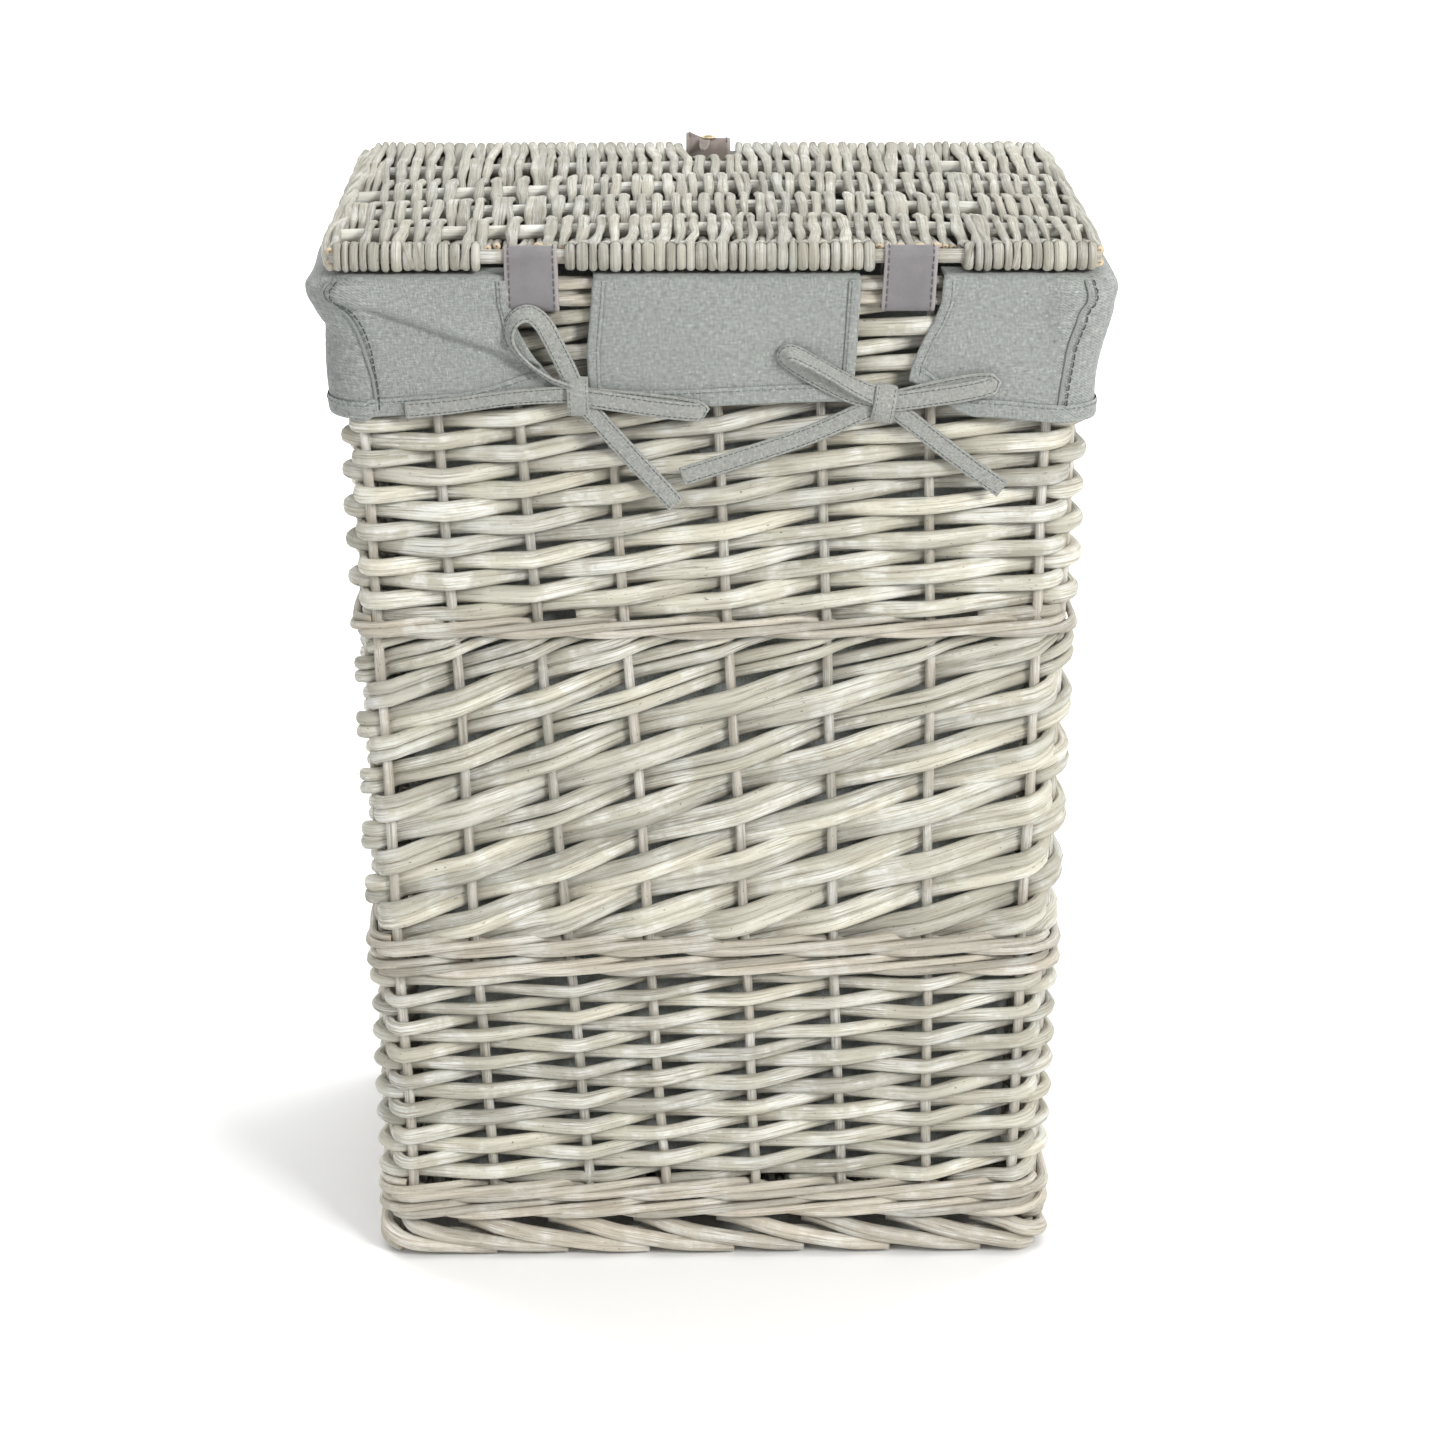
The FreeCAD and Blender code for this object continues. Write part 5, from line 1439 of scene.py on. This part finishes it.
def tab():
    acc, seams = Acc(), Acc()
    R = 5.1
    pts = [(152.7, 557.0), (152.6, 575.0), (152.5, 590.0), (152.5, 600.0), (151.6, 605.2)]
    for ang in np.linspace(-28, -180, 8):
        an = math.radians(ang)
        pts.append((147.0 + R * math.cos(an), 611.0 + R * math.sin(an)))
    pts += [(141.9, 614.0)]
    for ang in np.linspace(180, 0, 9):
        an = math.radians(ang)
        pts.append((147.0 + R * math.cos(an), 617.0 + R * math.sin(an)))
    pts += [(152.6, 613.0), (154.1, 608.5), (154.6, 603.0), (154.7, 590.0), (154.7, 573.0), (154.7, 556.5)]
    line = resample(np.array([(0.0, a, b) for a, b in pts]), 1.6)
    P = line.copy()
    T = np.gradient(P, axis=0)
    T /= np.linalg.norm(T, axis=1, keepdims=True)
    Nn = np.cross(np.array([1.0, 0, 0]), T)
    mid = len(P) // 2
    if Nn[mid][2] < 0:
        Nn = -Nn
    P, T, B, N2 = ribbon(acc, P, Nn, 27.4, 1.85, 0.0, 0, True, crown=0.0)
    for e in (-1, 1):
        line2 = P + B * (e * (13.7 - 2.4)) + N2 * 0.92
        keep = np.arange(len(P)) > mid
        stitches(seams, line2[keep], N2[keep], 4.2, 0.75, 2.7, 0, 0.0)
    tongue = np.array([(-2.0, 140.6, 622.4), (-2.2, 138.6, 622.2), (-2.6, 135.0, 621.0), (-3.2, 129.0, 619.9), (-3.4, 124.5, 619.6)])
    tl = resample(tongue, 1.5)
    soft = Acc()
    ribbon(soft, tl, np.tile([0.0, -0.2, 1.0], (len(tl), 1)), np.interp(np.linspace(0, 1, len(tl)), [0, 0.6, 1], [6.4, 5.4, 1.2]), 1.4, 0.0, 0, True)
    for group in (acc.v, seams.v, soft.v):
        for arr in group:
            up_ = np.clip((arr[:, 2] - 613.0) / 8.0, 0, 1)
            lf = np.clip((-arr[:, 0] - 2.0) / 11.7, 0, 1)
            arr[:, 2] += up_ * (4.6 * lf ** 1.3 - 1.6 * np.clip((-arr[:, 0] - 11.5) / 2.2, 0, 1)) * (arr[:, 1] > 138)
            arr[:, 1] += up_ * 2.0 * lf
    finish(soft.build("lifting_tab_tongue_leather", [LEATHER_TAB]), "lid")
    ob = acc.build("lifting_tab_leather", [LEATHER_TAB])
    finish(ob, "tab", ["lifting_tab"])
    st = seams.build("lifting_tab_stitches", [STITCH])
    finish(st, "tab")
    for o in bpy.data.objects:
        if o.name.startswith("lifting_tab_rivet") and o.type == "MESH":
            o.data.materials.clear()
            o.data.materials.append(RIVET)


# =====================================================================
# 8. Build
# =====================================================================
stakes()
foot()
waling("bottom_wale_rods", "bottom_wale", 26.0, 49.0, 2, 2.75, 1.0, 4.3)
siding("lower_siding_rods", "lower_siding", 49.0, 184.0, 8.9,
       ring([[0.5, 0.2, 0.68, 0.66, 0.75, 0.27, 0.97], 0.58, 0.5, 0.4, 0.55, 0.4, 0.5, 0.03]), 14,
       96.9, 4.25, 3.6, 1, -0.01, 0.90, 10)
waling("middle_wale_rods", "middle_wale", 184.0, 209.0, 2, 2.75, 1.0, 4.4)
siding("middle_siding_rods", "middle_siding", 209.0, 392.0, 16.9,
       ring([[0.79, 1.0, 1.0, 1.0, 1.0, 1.0, 1.0], 0.68, 1.0, 0.5, 1.0, 0.5, 1.0, 0.44]), 26,
       323.7, 4.20, 3.4, 2, -0.03, 0.86, 10, 6.3)
waling("upper_wale_rods", "upper_wale", 391.0, 405.5, 1, 2.5, 1.0, 4.4)
siding("upper_siding_rods", "upper_siding", 404.0, 581.0, 10.2,
       ring([[0.09, 0.33, 0.75, 0.82, 1.0, 0.5, 0.5], 0.17, 0.5, 0.35, 0.5, 0.35, 0.55, 0.03]), 14,
       434.8, 4.92, 3.8, 1, -0.025, 0.90, 10, 6.2)
rim()
base()
lid()
liner()
bows()
straps()
tab()

# =====================================================================
# 9. Floor, light and camera
# =====================================================================
scene = bpy.context.scene


def add_mesh(name, verts, faces):
    me = bpy.data.meshes.new(name)
    me.from_pydata(verts, [], faces)
    ob = bpy.data.objects.new(name, me)
    scene.collection.objects.link(ob)
    return ob


def floor_material():
    N = Nodes("floor_pale")
    n = N.noise(N.obj(), 3.0, 3.0, 0.5)
    col = N.mix(n, (0.86, 0.86, 0.86, 1), (0.90, 0.90, 0.89, 1))
    return N.done(col, 0.9, None, Specular_IOR_Level=0.1)


# a floor that curves up into a backdrop far behind
prof = []
for yy in np.linspace(-4.0, 3.2, 8):
    prof.append((yy, 0.0))
for a in np.linspace(0, 90, 13)[1:]:
    prof.append((3.2 + 1.4 * math.sin(math.radians(a)), 1.4 - 1.4 * math.cos(math.radians(a))))
prof.append((4.6, 5.0))
verts, faces = [], []
for (yy, zz) in prof:
    verts += [(-6.0, yy, zz), (6.0, yy, zz)]
for i in range(len(prof) - 1):
    faces.append((2 * i, 2 * i + 1, 2 * i + 3, 2 * i + 2))
floor = add_mesh("floor", verts, faces)
for p in floor.data.polygons:
    p.use_smooth = True
floor.data.materials.append(floor_material())


def area(name, loc, target, size, power, color=(1, 1, 1)):
    li = bpy.data.lights.new(name, "AREA")
    li.shape = "RECTANGLE"
    li.size, li.size_y = size
    li.energy = power
    li.color = color
    ob = bpy.data.objects.new(name, li)
    scene.collection.objects.link(ob)
    ob.location = loc
    d = Vector(target) - Vector(loc)
    ob.rotation_euler = d.to_track_quat("-Z", "Y").to_euler()
    return ob


area("key_light", (1.75, -2.3, 1.9), (0, 0, 0.34), (0.9, 0.9), 85.0, (1.0, 0.995, 0.98))
area("fill_light", (-2.2, -1.9, 1.3), (0, 0, 0.3), (1.8, 1.8), 20.0, (0.985, 0.99, 1.0))
area("top_light", (0.1, -0.2, 3.0), (0, 0, 0.5), (2.0, 2.0), 36.0, (1, 1, 1))
area("backdrop_light_left", (-1.9, 1.7, 2.4), (-0.8, 3.9, 0.5), (1.6, 1.6), 110.0, (1, 1, 1))
area("backdrop_light_right", (1.9, 1.7, 2.4), (0.8, 3.9, 0.5), (1.6, 1.6), 110.0, (1, 1, 1))

world = bpy.data.worlds.new("studio")
scene.world = world
world.use_nodes = True
world.node_tree.nodes["Background"].inputs[0].default_value = (0.97, 0.98, 1.0, 1)
world.node_tree.nodes["Background"].inputs[1].default_value = 0.37

yaw, pitch, roll = 0.0179, 0.3417, 0.00184
fwd = Vector((math.sin(yaw) * math.cos(pitch), math.cos(yaw) * math.cos(pitch), -math.sin(pitch)))
right = Vector((math.cos(yaw), -math.sin(yaw), 0.0))
upv = right.cross(fwd)
r2 = right * math.cos(roll) + upv * math.sin(roll)
u2 = upv * math.cos(roll) - right * math.sin(roll)
cam_data = bpy.data.cameras.new("camera")
cam = bpy.data.objects.new("camera", cam_data)
scene.collection.objects.link(cam)
m = Matrix((( r2.x, u2.x, -fwd.x), (r2.y, u2.y, -fwd.y), (r2.z, u2.z, -fwd.z))).to_4x4()
m.translation = Vector((-0.0290, -2.0035, 1.0038))
cam.matrix_world = m
cam_data.sensor_width = 36.0
cam_data.lens = 86.69
cam_data.clip_start = 0.05
cam_data.clip_end = 50.0
cam_data.dof.use_dof = False
scene.camera = cam
scene.view_settings.view_transform = "Standard"
scene.view_settings.look = "None"
scene.view_settings.exposure = 0.0
scene.view_settings.gamma = 1.0
